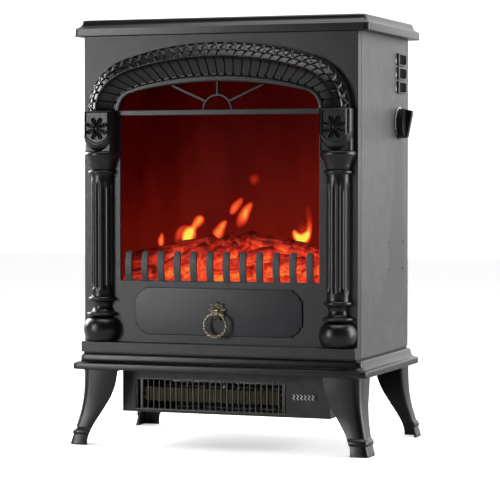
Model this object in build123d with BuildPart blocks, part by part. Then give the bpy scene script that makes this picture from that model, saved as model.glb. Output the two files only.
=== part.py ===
from build123d import *
import os
from math import atan2, cos, pi, radians, sin

# Electric stove fire, 1:1 in millimetres. +Z is up and -Y is the front. The origin is on the floor, under the
# middle of the whole object. Every piece is one sub-part, written to its own STEP file.
os.makedirs("parts", exist_ok=True)

# ---- Driving dimensions ----
body_half = 190.0            # half the cabinet's width
face_y = -109.8              # front face of the fascia
back_y = 121.8               # rear face of the cabinet
body_low = 124.2             # underside of the side panels
body_high = 542.0            # underside of the lid's rim
sheet = 1.0                  # sheet steel thickness
flange = 12.0                # bent edges of the sheet panels
wall = 3.0                   # moulded fascia thickness
seam_y = -95.8               # shadow gap between the fascia's return and the side panels

lid_half = 205.5             # lid rim half width
lid_front = -113.5
lid_back = 131.0
lid_top_half = 194.7
lid_rim_high = 551.8
lid_high = 563.8

base_half = 205.0            # base rim half width
base_front = -121.5
base_back = 130.0
base_top_half = 192.0
base_low = 100.6
base_rim_high = 109.7
base_high = 122.0

window_half = 138.0          # window opening in the fascia
window_low = 219.5
spring_z = 443.5             # where the arches leave their upright sides
window_crown = 480.0
surround_half = 181.0        # outer edge of the arch surround
surround_crown = 531.5

column_x = 163.8             # column axis from the middle, in the plane of the face
block_half = 20.5            # rosette block half width
block_low = 389.0
block_proud = 20.5

shelf_z = 200.0              # underside of the shelf that carries the fire
glass_y = -102.5             # front of the window glass
screen_y = -18.0             # front of the flame screen
rod_y = 42.0                 # flame rod axis
rod_z = 250.0
rod_r = 2.5
running_fit = 0.05           # radial clearance of a shaft in its bush

case_half = 145.5            # heater case half width
case_front = -86.0
case_back = 40.0
case_low = 43.3
slot_pitch = 8.0
slot_count = 26
slot_mid_x = -21.0
slot_low = 47.0
slot_high = 88.0
fan_y = -18.0                # cross-flow fan axis
fan_z = 71.0
fan_r = 20.0

screw_y = (30.4, 96.6)       # side screw rows
screw_z = (232.2, 268.3)
switch_y = 83.0              # middle of the three rockers
switch_z = (513.6, 495.0, 476.4)
knob_y = 78.0
knob_z = 428.0
foot_reach = 208.5           # how far the feet and the knob reach sideways
mid_y = (face_y + back_y) / 2


def save(part, label):
    """Name a finished piece and write it as its own STEP file."""
    part.label = label
    export_step(part, f"parts/{label}.step")


def arch_line(half, low, crown, shoulder):
    """Three-centred arch on upright sides, drawn inside a BuildLine, in X and Z as sketch coordinates."""
    rise = crown - spring_z
    big = (half**2 + rise**2 - 2 * half * shoulder) / (2 * (rise - shoulder))
    lean = atan2(half - shoulder, big - rise)
    meet = (big * sin(lean), crown - big + big * cos(lean))
    turn = (pi / 2 - lean) / 2
    mid = (half - shoulder + shoulder * cos(turn), spring_z + shoulder * sin(turn))
    Line((-half, low), (half, low))
    Line((half, low), (half, spring_z))
    ThreePointArc((half, spring_z), mid, meet)
    ThreePointArc(meet, (0, crown), (-meet[0], meet[1]))
    ThreePointArc((-meet[0], meet[1]), (-mid[0], mid[1]), (-half, spring_z))
    Line((-half, spring_z), (-half, low))


# ---- Lid ----
# Solid moulded slab with a cove between its wide rim and its smaller top face.
with BuildPart() as top_plate:
    lid_mid = (lid_front + lid_back) / 2
    lid_depth = lid_back - lid_front
    with BuildSketch(Plane.XY.offset(body_high)):
        with Locations((0, lid_mid)):
            RectangleRounded(2 * lid_half, lid_depth, 10)
    extrude(amount=lid_rim_high - body_high)
    lid_step = lid_half - lid_top_half
    with BuildSketch(Plane.XY.offset(lid_rim_high)):
        with Locations((0, lid_mid)):
            RectangleRounded(2 * (lid_half - 2), lid_depth - 4, 9)
    with BuildSketch(Plane.XY.offset(lid_high)):
        with Locations((0, lid_mid)):
            RectangleRounded(2 * lid_top_half, lid_depth - 2 * lid_step, 6)
    loft()
save(top_plate.part, "top_plate")


# ---- Cabinet sheet metal ----
rear_screw_places = [(x, z) for x in (-184, 184) for z in (140, 333, 526)]


def side_panel(side):
    """One bent side sheet: a flat wall with its four edges turned inwards, holed for its screws and controls."""
    with BuildPart() as panel:
        with BuildSketch(Plane.YZ.offset(side * body_half)):
            with Locations(((seam_y + back_y - sheet) / 2, (body_low + body_high) / 2)):
                Rectangle(back_y - sheet - seam_y, body_high - body_low)
        extrude(amount=-side * flange)
        inner = Plane.YZ.offset(side * (body_half - sheet))
        with BuildSketch(inner):
            with Locations(((seam_y + back_y - sheet) / 2, (body_low + body_high) / 2)):
                Rectangle(back_y - sheet - seam_y - 2 * sheet, body_high - body_low - 2 * sheet)
        extrude(amount=-side * flange, mode=Mode.SUBTRACT)
        with BuildSketch(Plane.YZ.offset(side * (body_half + 1))):
            with Locations(*[(y, z) for y in screw_y for z in screw_z]):
                Circle(1.6)
            if side > 0:
                with Locations(*[(switch_y, z) for z in switch_z]):
                    Rectangle(28.4, 14.6)
                with Locations((knob_y, knob_z)):
                    Circle(5.2)
        extrude(amount=-side * 3, mode=Mode.SUBTRACT)
        with BuildSketch(Plane.XZ.offset(-back_y)):
            with Locations(*[(x, z) for x, z in rear_screw_places if x * side > 0]):
                Circle(1.5)
        extrude(amount=5, mode=Mode.SUBTRACT)
    return panel.part


save(side_panel(-1), "left_side_panel")
save(side_panel(1), "right_side_panel")

# Rear cover: one sheet with louvre slots at the top and the bottom and the bore for the cord gland.
gland_x = -120.0
gland_z = 150.0
gland_r = 8.0
with BuildPart() as rear_cover:
    with BuildSketch(Plane.XZ.offset(-back_y)):
        with Locations((0, (body_low + body_high) / 2)):
            Rectangle(2 * body_half, body_high - body_low)
        with Locations(*[(0, z) for z in (500, 488, 476, 464, 205, 193, 181, 169)]):
            with GridLocations(64, 0, 4, 1):
                SlotOverall(52, 5, mode=Mode.SUBTRACT)
        with Locations((gland_x, gland_z)):
            Circle(gland_r, mode=Mode.SUBTRACT)
        with Locations(*rear_screw_places):
            Circle(1.6, mode=Mode.SUBTRACT)
    extrude(amount=sheet)
save(rear_cover.part, "rear_cover")


def pan_screw(length, head_r=3.8, head_high=2.0):
    """A pan head screw on the current plane, its head outside and its shank inwards."""
    Cylinder(head_r, head_high, align=(Align.CENTER, Align.CENTER, Align.MIN))
    Cylinder(1.5, length, align=(Align.CENTER, Align.CENTER, Align.MAX))


rear_plane = Plane(origin=(0, back_y, 0), x_dir=(1, 0, 0), z_dir=(0, 1, 0))
with BuildPart(rear_plane) as rear_cover_screws:
    with Locations(*[(x, -z) for x, z in rear_screw_places]):
        pan_screw(8)
save(rear_cover_screws.part, "rear_cover_screws")

with BuildPart() as side_screws:
    for side in (-1, 1):
        for y in screw_y:
            for z in screw_z:
                with Locations(Plane(origin=(side * body_half, y, z), z_dir=(side, 0, 0))):
                    pan_screw(8)
save(side_screws.part, "side_screws")

# Floor pan of the cabinet: it shows as the shadow gap above the base.
with BuildPart() as cabinet_floor:
    with BuildSketch(Plane.XY.offset(base_high)):
        with Locations((0, (seam_y - 8 + back_y - 4) / 2)):
            Rectangle(2 * (body_half - 4), back_y - 4 - seam_y + 8)
    extrude(amount=body_low - base_high)
save(cabinet_floor.part, "cabinet_floor")

# Shelf that carries the log bed and the lamp boards, with its edges turned down.
with BuildPart() as fire_shelf:
    with BuildSketch(Plane.XY.offset(shelf_z)):
        with Locations((0, -10)):
            Rectangle(2 * (body_half - flange - 2), 170)
    extrude(amount=1.2)
    with BuildSketch(Plane.XY.offset(shelf_z)):
        with Locations((0, -94.4), (0, 74.4)):
            Rectangle(2 * (body_half - flange - 2), 1.2)
    extrude(amount=-12)
save(fire_shelf.part, "fire_shelf")

# ---- Fascia: moulded front with side returns, window opening and the ledge the columns stand on ----
ledge_high = 138.0
ledge_proud = 12.0
with BuildPart() as front_fascia:
    with BuildSketch(Plane.XZ.offset(-face_y)):
        with Locations((0, (body_low + body_high) / 2)):
            Rectangle(2 * body_half, body_high - body_low)
    extrude(amount=-(seam_y - 0.6 - face_y))
    with BuildSketch(Plane.XZ.offset(-(face_y + wall))):
        with Locations((0, (body_low + body_high) / 2)):
            Rectangle(2 * body_half - 2 * wall, body_high - body_low - 2 * wall)
    extrude(amount=-20, mode=Mode.SUBTRACT)
    with BuildSketch(Plane.XZ.offset(-(face_y - 1))):
        with BuildLine():
            arch_line(window_half, window_low, window_crown, 24)
        make_face()
    extrude(amount=-6, mode=Mode.SUBTRACT)
    with BuildSketch(Plane.XZ.offset(-face_y)):
        with Locations((0, (body_low + ledge_high) / 2)):
            Rectangle(2 * body_half, ledge_high - body_low)
    extrude(amount=ledge_proud)
save(front_fascia.part, "front_fascia")


# ---- Arch surround: stepped rings between the window edge and its outer edge ----
def ring_at(share):
    """Half width, crown and shoulder radius of the arch at this share of the way outwards."""
    half = window_half + 0.2 + share * (surround_half - window_half - 0.2)
    crown = window_crown + 0.2 + share * (surround_crown - window_crown - 0.2)
    return half, crown, 24 + 46 * share


steps = [(0.0, 4.0), (0.17, 7.5), (0.27, 11.5), (0.38, 16.0), (0.5, 20.0), (0.74, 14.0), (0.9, 7.5)]
with BuildPart() as arch_surround:
    for index, (share, proud) in enumerate(steps):
        outer_share = steps[index + 1][0] if index + 1 < len(steps) else 1.0
        with BuildSketch(Plane.XZ.offset(-face_y)):
            with BuildLine():
                half, crown, shoulder = ring_at(outer_share)
                arch_line(half, spring_z - 0.5, crown, shoulder)
            make_face()
            with BuildLine():
                half, crown, shoulder = ring_at(share)
                arch_line(half, spring_z - 10, crown, shoulder)
            make_face(mode=Mode.SUBTRACT)
            with Locations((0, spring_z - 6)):
                Rectangle(2 * surround_half + 4, 12, mode=Mode.SUBTRACT)
        extrude(amount=proud)
save(arch_surround.part, "arch_surround")


# ---- Columns and their blocks ----
def column(side):
    """Half-round column on the face: capital, fluted shaft, rings, neck and bun, turned in one piece."""
    axis_plane = Plane(origin=(side * column_x, face_y, 0), x_dir=(1, 0, 0), z_dir=(0, -1, 0))
    with BuildPart() as turned:
        with BuildSketch(axis_plane):
            with BuildLine():
                Polyline((0, ledge_high), (15, ledge_high), (15, 139.4))
                ThreePointArc((15, 139.4), (25.3, 154.5), (15, 170.4))
                Polyline(
                    (15, 170.4), (15, 172.6), (21, 172.6), (21, 177.0), (14, 178.5), (12.8, 184.6),
                    (15, 192.7), (18.9, 192.7), (18.9, 197.2), (15.5, 197.2), (15.5, 360.5), (18.9, 360.5),
                    (18.9, 364.8), (17, 365.5), (22, 383), (23.5, 383), (23.5, block_low), (0, block_low),
                    (0, ledge_high),
                )
            make_face()
        revolve(axis=Axis((side * column_x, face_y, 0), (0, 0, 1)), revolution_arc=360)
        split(bisect_by=axis_plane, keep=Keep.TOP)
        for turn in range(-2, 3):
            lean = radians(turn * 30)
            place = (side * column_x + 15.5 * sin(lean), face_y - 15.5 * cos(lean), (208.7 + 345.9) / 2)
            with Locations(Plane(origin=place, x_dir=(0, 0, 1), z_dir=(sin(lean), -cos(lean), 0))):
                Cylinder(2.4, 132, rotation=(0, 90, 0), mode=Mode.SUBTRACT)
    return turned.part


save(column(-1), "left_column")
save(column(1), "right_column")


def rosette_block(side):
    """Square block over a column with chamfered sides and a raised shield that carries the flower."""
    with BuildPart() as block:
        with BuildSketch(Plane.XY.offset(block_low)):
            with Locations((side * column_x, face_y - block_proud / 2)):
                Rectangle(2 * block_half, block_proud)
            chamfer(vertices().group_by(Axis.Y)[0], 4)
        extrude(amount=spring_z - 0.5 - block_low)
        with BuildSketch(Plane.XZ.offset(-(face_y - block_proud))):
            with BuildLine():
                left = side * column_x - 15.6
                right = side * column_x + 15.6
                Polyline((left, 410), (left, 439), (right, 439), (right, 410))
                ThreePointArc((right, 410), (side * column_x, 400.5), (left, 410))
            make_face()
            with Locations((side * column_x, 420)):
                Circle(15.3, mode=Mode.SUBTRACT)
        extrude(amount=1.2)
        with BuildSketch(Plane.XZ.offset(-(face_y - block_proud))):
            for petal in range(8):
                turn = radians(22.5 + 45 * petal)
                with Locations((side * column_x + 9.6 * cos(turn), 420 + 9.6 * sin(turn))):
                    Ellipse(4.6, 2.4, rotation=22.5 + 45 * petal)
            with Locations((side * column_x, 420)):
                Circle(2.6)
        extrude(amount=1.0)
    return block.part


save(rosette_block(-1), "left_rosette_block")
save(rosette_block(1), "right_rosette_block")

# ---- Fanlight: cross bar, half ring, upright and two slanted spokes ----
bar_deep = 4.0
hub_r = 21.0
with BuildPart() as fanlight:
    with BuildSketch(Plane.XZ.offset(-face_y)):
        with Locations((0, 440)):
            Rectangle(2 * (column_x - block_half) - 0.6, 7)
        with BuildLine():
            ThreePointArc((-hub_r, 443), (0, 443 + hub_r), (hub_r, 443))
            Line((hub_r, 443), (hub_r - 3, 443))
            ThreePointArc((hub_r - 3, 443), (0, 443 + hub_r - 3), (-hub_r + 3, 443))
            Line((-hub_r + 3, 443), (-hub_r, 443))
        make_face()
        with Locations((0, (462 + window_crown) / 2)):
            Rectangle(3, window_crown - 462)
        for side in (-1, 1):
            with BuildLine():
                Polyline(
                    (side * 16.2, 456.2), (side * 60.5, 475.8), (side * 63.5, 475.8), (side * 63.5, 473.6),
                    (side * 18.0, 453.2), (side * 16.2, 456.2),
                )
            make_face()
    extrude(amount=bar_deep)
save(fanlight.part, "fanlight")

# ---- Fire fret: bowed fingers on a rail behind the sill ----
finger_half = 4.35
with BuildPart() as fire_fret:
    with BuildSketch(Plane.XZ.offset(-(face_y + wall))):
        with Locations((0, 216.5)):
            Rectangle(270, 7)
    extrude(amount=-3)
    for index in range(12):
        finger_x = -125.9 + index * 251.8 / 11
        with BuildSketch(Plane.YZ.offset(finger_x - finger_half)):
            with BuildLine():
                ThreePointArc((-106.8, 213.5), (-112.8, 238), (-109.2, 259))
                Line((-109.2, 259), (-105.8, 259))
                ThreePointArc((-105.8, 259), (-109.4, 238), (-103.8, 213.5))
                Line((-103.8, 213.5), (-106.8, 213.5))
            make_face()
            with Locations((-110.6, 215.5)):
                Rectangle(7.6, 8, mode=Mode.SUBTRACT)
        extrude(amount=2 * finger_half)
    tips = edges().filter_by(lambda e: e.center().Z > 258.9 and abs(e.tangent_at(0.5).Y) > 0.9)
    fillet(tips, 4.2)
save(fire_fret.part, "fire_fret")

# ---- Ash panel with notched corners ----
panel_half = 116.0
with BuildPart() as ash_panel:
    with BuildSketch(Plane.XZ.offset(-face_y)):
        with Locations((0, 180)):
            Rectangle(2 * panel_half, 62)
        chamfer(vertices(), 10.5)
    extrude(amount=2.5)
save(ash_panel.part, "ash_panel")

# ---- Pull: leaf plate with a pierced knuckle, and the ring that hangs in it ----
panel_y = face_y - 2.5
hang_z = 178.6
ring_r = 15.1
ring_y = -121.6
with BuildPart() as pull_backplate:
    with BuildSketch(Plane.XZ.offset(-panel_y)):
        for leaf in range(8):
            turn = radians(22.5 + 45 * leaf)
            with Locations((8.2 * cos(turn), 184 + 8.2 * sin(turn))):
                Ellipse(5.0, 3.0, rotation=22.5 + 45 * leaf)
        with Locations((0, 184)):
            Circle(8.5)
    extrude(amount=2.4)
    with BuildSketch(Plane.YZ.offset(-2)):
        with Locations(((ring_y + panel_y - 2) / 2 + 0.4, hang_z + 1.2)):
            Rectangle(panel_y - ring_y - 1.2, 5.2)
        with Locations((ring_y, hang_z)):
            Circle(3.8)
            Circle(2.0, mode=Mode.SUBTRACT)
    extrude(amount=4)
save(pull_backplate.part, "pull_backplate")

with BuildPart() as pull_ring:
    with BuildSketch(Plane.YZ):
        with Locations((ring_y, hang_z)):
            Circle(1.6)
    revolve(axis=Axis((0, ring_y, hang_z - ring_r), (0, 1, 0)), revolution_arc=360)
save(pull_ring.part, "pull_ring")

# ---- Window glass and its clips ----
with BuildPart() as window_glass:
    with BuildSketch(Plane.XZ.offset(-glass_y)):
        with Locations((0, 350)):
            RectangleRounded(292, 276, 4)
    extrude(amount=-3)
save(window_glass.part, "window_glass")

with BuildPart() as glass_clips:
    for side in (-1, 1):
        for clip_z in (270, 430):
            with Locations((side * 151.2, face_y + wall + 4.4, clip_z)):
                Box(10, 8.8, 14)
            with Locations((side * 144.5, glass_y + 3.75, clip_z)):
                Box(4, 1.5, 14)
save(glass_clips.part, "glass_clips")

# ---- Firebox: dark liner, log bed and flame screen ----
liner_half = 150.0
liner_front = -98.0
with BuildPart() as firebox_liner:
    with BuildSketch(Plane.XZ.offset(-liner_front)):
        with Locations((0, (shelf_z + 1.2 + 492) / 2)):
            Rectangle(2 * liner_half, 492 - shelf_z - 1.2)
            Rectangle(2 * liner_half - 2, 490 - shelf_z, mode=Mode.SUBTRACT)
    extrude(amount=liner_front - screen_y)
    with Locations((0, -60, shelf_z)):
        Box(2 * liner_half - 2, 100, 6, mode=Mode.SUBTRACT)
save(firebox_liner.part, "firebox_liner")

log_places = [
    ((-116, -52, 236), 9.0, 54, 11),
    ((-40, -40, 262), 11.5, 120, 14),
    ((18, -58, 262), 12.0, 104, -9),
    ((60, -44, 256), 12.0, 82, -17),
    ((112, -56, 246), 9.5, 62, -10),
]
with BuildPart() as log_bed:
    with BuildSketch(Plane.YZ.offset(-144)):
        with BuildLine():
            Polyline((-97, 201.2), (-97, 216))
            ThreePointArc((-97, 216), (-66, 240), (-22, 250))
            Polyline((-22, 250), (-22, 201.2), (-97, 201.2))
        make_face()
    extrude(amount=288)
    for (log_x, log_y, log_z), log_r, log_long, log_tilt in log_places:
        along = (cos(radians(log_tilt)), 0.12, sin(radians(log_tilt)))
        with Locations(Plane(origin=(log_x, log_y, log_z), z_dir=along)):
            Cylinder(log_r, log_long)
save(log_bed.part, "log_bed")

with BuildPart() as flame_screen:
    with BuildSketch(Plane.XZ.offset(-screen_y)):
        with Locations((0, (shelf_z + 1.2 + 490) / 2)):
            Rectangle(2 * liner_half - 2.4, 490 - shelf_z - 1.2)
    extrude(amount=-3)
save(flame_screen.part, "flame_screen")

# ---- Flame drive: spindle with reflector blades, its brackets, bush and motor ----
hanger_half = 142.0


def drive_bracket(side, hole_r):
    """Angle bracket behind the side screws: flange, web and an upright with the spindle's hole."""
    with BuildPart() as bracket:
        with Locations((side * (body_half - sheet - 0.75), (screw_y[0] + screw_y[1]) / 2, 250)):
            Box(1.5, 84, 56)
        with Locations((side * (body_half - sheet + hanger_half) / 2, (screw_y[0] + screw_y[1]) / 2, 223)):
            Box(body_half - sheet - hanger_half, 84, 2)
        with Locations((side * (hanger_half + 1), (screw_y[0] + screw_y[1]) / 2, 250)):
            Box(2, 84, 56)
        with BuildSketch(Plane.YZ.offset(side * (body_half + 1))):
            with Locations(*[(y, z) for y in screw_y for z in screw_z]):
                Circle(1.5)
        extrude(amount=-side * 8, mode=Mode.SUBTRACT)
        with BuildSketch(Plane.YZ.offset(side * (hanger_half - 1))):
            with Locations((rod_y, rod_z)):
                Circle(hole_r)
        extrude(amount=side * 8, mode=Mode.SUBTRACT)
    return bracket.part


save(drive_bracket(-1, 5.0), "motor_bracket")
save(drive_bracket(1, 5.0), "rod_bracket")

with BuildPart() as flame_rod:
    with BuildSketch(Plane.YZ.offset(-156)):
        with Locations((rod_y, rod_z)):
            Circle(rod_r)
    extrude(amount=304)
    for group in range(9):
        blade_x = -128 + group * 32
        for blade in range(4):
            turn = radians(90 * blade + 25 * group)
            blade_plane = Plane(
                origin=(blade_x, rod_y, rod_z), x_dir=(1, 0, 0), z_dir=(0, -sin(turn), cos(turn))
            )
            with BuildSketch(blade_plane.offset(-0.3)):
                with BuildLine():
                    Polyline((-9, 1), (-12, 11), (-3, 18), (4, 10), (11, 16), (9, 1), (-9, 1))
                make_face()
            extrude(amount=0.6)
save(flame_rod.part, "flame_rod")

with BuildPart(Plane.YZ.offset(hanger_half - 2)) as rod_bush:
    with Locations((rod_y, rod_z)):
        Cylinder(8, 2, align=(Align.CENTER, Align.CENTER, Align.MIN))
        Cylinder(5, 5.5, align=(Align.CENTER, Align.CENTER, Align.MIN))
        Cylinder(rod_r + running_fit, 20, mode=Mode.SUBTRACT)
save(rod_bush.part, "rod_bush")

with BuildPart(Plane.YZ.offset(-hanger_half - 2)) as flame_motor:
    with Locations((rod_y, rod_z)):
        Cylinder(22, 15, align=(Align.CENTER, Align.CENTER, Align.MAX))
        Cylinder(4.8, 4, align=(Align.CENTER, Align.CENTER, Align.MIN))
        Cylinder(rod_r + running_fit, 26, mode=Mode.SUBTRACT)
save(flame_motor.part, "flame_motor")


# ---- Lamp boards on the shelf ----
def lamp_board(mid, board_y, count):
    """A strip of circuit board with a row of light domes."""
    with BuildPart() as board:
        with Locations((mid, board_y, shelf_z + 2.0)):
            Box(240, 14, 1.6)
        with Locations((mid, board_y, shelf_z + 2.8)):
            with GridLocations(220 / (count - 1), 0, count, 1):
                Cylinder(2.5, 5, align=(Align.CENTER, Align.CENTER, Align.MIN))
    return board.part


save(lamp_board(0, 8, 12), "flame_lamp_board")
with BuildPart() as ember_lamp_board:
    with Locations((0, -60, shelf_z - 0.8)):
        Box(240, 14, 1.6)
    with Locations((0, -60, shelf_z - 1.6)):
        with GridLocations(20, 0, 12, 1):
            Cylinder(2.5, 5, align=(Align.CENTER, Align.CENTER, Align.MAX))
save(ember_lamp_board.part, "ember_lamp_board")

# ---- Switches: bezels, bodies and the three rockers ----
pivot_x = body_half + 1.0
rocker_lean = 7.0
with BuildPart() as rocker_bezels:
    for z in switch_z:
        with Locations((body_half + 1.5, switch_y, z)):
            Box(3, 34, 16.5)
        with Locations((body_half - 1.4, switch_y, z)):
            Box(2.8, 28, 14.2)
        with Locations((body_half, switch_y, z)):
            Box(8, 24.8, 12.6, mode=Mode.SUBTRACT)
save(rocker_bezels.part, "rocker_bezels")

with BuildPart() as switch_bodies:
    for z in switch_z:
        with Locations((body_half - 2.8, switch_y, z)):
            Box(20, 28, 14.2, align=(Align.MAX, Align.CENTER, Align.CENTER))
        with Locations((body_half - 22.8, switch_y, z)):
            with GridLocations(0, 9, 1, 3):
                Box(8, 0.8, 6, align=(Align.MAX, Align.CENTER, Align.CENTER))
save(switch_bodies.part, "switch_bodies")


def rocker(z):
    """A rocker cap at its off position, leaning about its upright pivot line."""
    lean = radians(-rocker_lean)
    cap_plane = Plane(origin=(pivot_x, switch_y, z - 6), x_dir=(cos(lean), sin(lean), 0), z_dir=(0, 0, 1))
    with BuildPart() as cap:
        with BuildSketch(cap_plane):
            with BuildLine():
                Polyline((-1.6, -11.7), (3.2, -11.7))
                ThreePointArc((3.2, -11.7), (1.9, 0), (3.2, 11.7))
                Polyline((3.2, 11.7), (-1.6, 11.7), (-1.6, -11.7))
            make_face()
        extrude(amount=12)
    return cap.part


rocker_names = ("rocker_flame", "rocker_low_heat", "rocker_high_heat")
for rocker_name, z in zip(rocker_names, switch_z):
    save(rocker(z), rocker_name)

# ---- Thermostat: dial plate, knob, spindle and body ----
spindle_r = 3.0
with BuildPart(Plane.YZ.offset(body_half)) as knob_dial:
    with Locations((knob_y, knob_z)):
        Cylinder(22, 0.8, align=(Align.CENTER, Align.CENTER, Align.MIN))
        Cylinder(5.2, 5, mode=Mode.SUBTRACT)
save(knob_dial.part, "knob_dial")

with BuildPart() as thermostat_knob:
    with BuildSketch(Plane.YZ.offset(body_half + 1.1)):
        with Locations((knob_y, knob_z)):
            Circle(20)
    extrude(amount=9)
    with BuildSketch(Plane.XZ.offset(-(knob_y - 4.5))):
        with BuildLine():
            Polyline(
                (body_half + 6, knob_z - 19), (body_half + 12, knob_z - 19), (foot_reach, knob_z + 13),
                (foot_reach, knob_z + 17), (body_half + 6, knob_z + 19), (body_half + 6, knob_z - 19),
            )
        make_face()
    extrude(amount=-9)
    with BuildSketch(Plane.YZ.offset(body_half + 1)):
        with Locations((knob_y, knob_z)):
            Circle(spindle_r)
    extrude(amount=7, mode=Mode.SUBTRACT)
save(thermostat_knob.part, "thermostat_knob")

with BuildPart() as thermostat_spindle:
    with BuildSketch(Plane.YZ.offset(body_half - 20)):
        with Locations((knob_y, knob_z)):
            Circle(spindle_r)
    extrude(amount=28)
save(thermostat_spindle.part, "thermostat_spindle")

with BuildPart(Plane.YZ.offset(body_half - 4)) as thermostat_body:
    with Locations((knob_y, knob_z)):
        Box(32, 26, 18, align=(Align.CENTER, Align.CENTER, Align.MAX))
        Cylinder(5, 4.5, align=(Align.CENTER, Align.CENTER, Align.MIN))
        Cylinder(spindle_r + running_fit, 50, mode=Mode.SUBTRACT)
save(thermostat_body.part, "thermostat_body")

# ---- Base tray with its cove ----
base_mid = (base_front + base_back) / 2
base_depth = base_back - base_front
leg_corner = 118.5           # how far the leg's top corner stands from the middle, front to back
leg_screw_places = [(sx * x, mid_y + sy * y) for sx in (-1, 1) for sy in (-1, 1) for x, y in ((180, 88), (156, 104))]
case_screw_places = ((-138, 26), (138, 26), (-138, -40), (138, -40))
with BuildPart() as base_plate:
    with BuildSketch(Plane.XY.offset(base_low)):
        with Locations((0, base_mid)):
            RectangleRounded(2 * base_half, base_depth, 8)
    extrude(amount=base_rim_high - base_low)
    with BuildSketch(Plane.XY.offset(base_rim_high)):
        with Locations((0, mid_y)):
            RectangleRounded(2 * base_top_half, back_y - face_y + 1.4, 3)
    extrude(amount=base_high - base_rim_high)
    with BuildSketch(Plane.XY.offset(base_low + 2.5)):
        with Locations((0, mid_y)):
            Rectangle(2 * base_top_half - 14, back_y - face_y - 12)
    extrude(amount=30, mode=Mode.SUBTRACT)
    with BuildSketch(Plane.XY.offset(base_low)):
        with Locations((100, 0)):
            Rectangle(40, 24)
        with Locations(*leg_screw_places):
            Circle(1.6)
        with Locations(*case_screw_places):
            Circle(1.6)
    extrude(amount=4, mode=Mode.SUBTRACT)
save(base_plate.part, "base_plate")

# ---- Legs: open corner shells that narrow to the ankle and splay to the foot ----
# Each row: height, sideways reach, front-to-back reach from the middle, wing lengths in X and in Y.
leg_rows = [
    (0.0, 208.5, 129.0, 25.0, 31.0),
    (13.0, 204.6, 126.4, 22.5, 28.5),
    (26.0, 201.6, 123.2, 25.0, 27.0),
    (45.0, 197.2, 119.6, 32.5, 30.5),
    (63.0, 194.6, 118.6, 41.5, 36.0),
    (80.0, 194.0, 118.5, 48.0, 41.5),
    (base_low, 194.0, leg_corner, 51.5, 45.0),
]
shell = 3.2
ring_low = 14.5
ring_high = 21.5
ankle_row = (ring_low, 204.0, 125.8, 22.7, 28.2)


def leg_section(row, side, end, grow):
    """L-shaped section of a leg with a round outer corner, its outside pushed out by grow."""
    height, reach_x, reach_y, wing_x, wing_y = row
    corner_x = side * (reach_x + grow)
    corner_y = mid_y + end * (reach_y + grow)
    tip_x = corner_x - side * (wing_x + grow)
    tip_y = corner_y - end * (wing_y + grow)
    in_x = corner_x - side * (shell + grow)
    in_y = corner_y - end * (shell + grow)
    round_r = 0.4 * min(wing_x, wing_y)
    with BuildSketch(Plane.XY.offset(height)) as section:
        with BuildLine():
            Polyline(
                (corner_x, corner_y), (tip_x, corner_y), (tip_x, in_y), (in_x, in_y), (in_x, tip_y),
                (corner_x, tip_y), (corner_x, corner_y),
            )
        make_face()
        fillet(vertices().sort_by_distance((corner_x, corner_y, height))[0], round_r + grow)
        fillet(vertices().sort_by_distance((in_x, in_y, height))[0], round_r - shell)
    return section.sketch


def leg(side, end):
    """One leg: the splayed shell, the raised ring at the ankle and the plate that the screws hold."""
    with BuildPart() as shape:
        loft([leg_section(row, side, end, 0) for row in leg_rows], ruled=True)
        extrude(leg_section(ankle_row, side, end, 1.6), amount=ring_high - ring_low)
        with BuildSketch(Plane.XY.offset(base_low - 3)):
            with Locations((side * 169, mid_y + end * (leg_corner - 22.5))):
                Rectangle(44, 41)
            with Locations(*leg_screw_places):
                Circle(1.6, mode=Mode.SUBTRACT)
        extrude(amount=3)
    return shape.part


for side, side_name in ((-1, "left"), (1, "right")):
    for end, end_name in ((-1, "front"), (1, "rear")):
        save(leg(side, end), f"{end_name}_{side_name}_leg")

with BuildPart() as leg_screws:
    for x, y in leg_screw_places:
        with Locations(Plane(origin=(x, y, base_low - 3), z_dir=(0, 0, -1))):
            pan_screw(8)
save(leg_screws.part, "leg_screws")

# ---- Heater case under the base, its outlet grille and screws ----
with BuildPart() as heater_case:
    with Locations((0, (case_front + case_back) / 2, (case_low + base_low) / 2)):
        Box(2 * case_half, case_back - case_front, base_low - case_low)
        with Locations((0, 0, 1)):
            Box(2 * case_half - 2, case_back - case_front - 2, base_low - case_low, mode=Mode.SUBTRACT)
    with BuildSketch(Plane.XZ.offset(-case_front + 1)):
        with Locations((slot_mid_x, (slot_low + slot_high) / 2)):
            Rectangle(slot_pitch * slot_count + 4, slot_high - slot_low + 2)
    extrude(amount=-4, mode=Mode.SUBTRACT)
    with BuildSketch(Plane.XZ.offset(-case_back - 1)):
        with Locations((0, 72)):
            with GridLocations(40, 12, 6, 3):
                SlotOverall(32, 4)
    extrude(amount=4, mode=Mode.SUBTRACT)
    for side in (-1, 1):
        with Locations((side * 138, (case_front + case_back) / 2, base_low - 0.5)):
            Box(14, case_back - case_front, 1)
    with BuildSketch(Plane.XY.offset(base_low - 2)):
        with Locations(*case_screw_places):
            Circle(1.6)
    extrude(amount=4, mode=Mode.SUBTRACT)
save(heater_case.part, "heater_case")

with BuildPart() as outlet_grille:
    with BuildSketch(Plane.XZ.offset(-case_front)):
        with Locations((slot_mid_x, (slot_low + slot_high) / 2)):
            Rectangle(slot_pitch * slot_count + 3.6, slot_high - slot_low + 1.6)
            with GridLocations(slot_pitch, 0, slot_count, 1):
                Rectangle(slot_pitch - 1.6, slot_high - slot_low - 2, mode=Mode.SUBTRACT)
    extrude(amount=-2)
save(outlet_grille.part, "outlet_grille")

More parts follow.
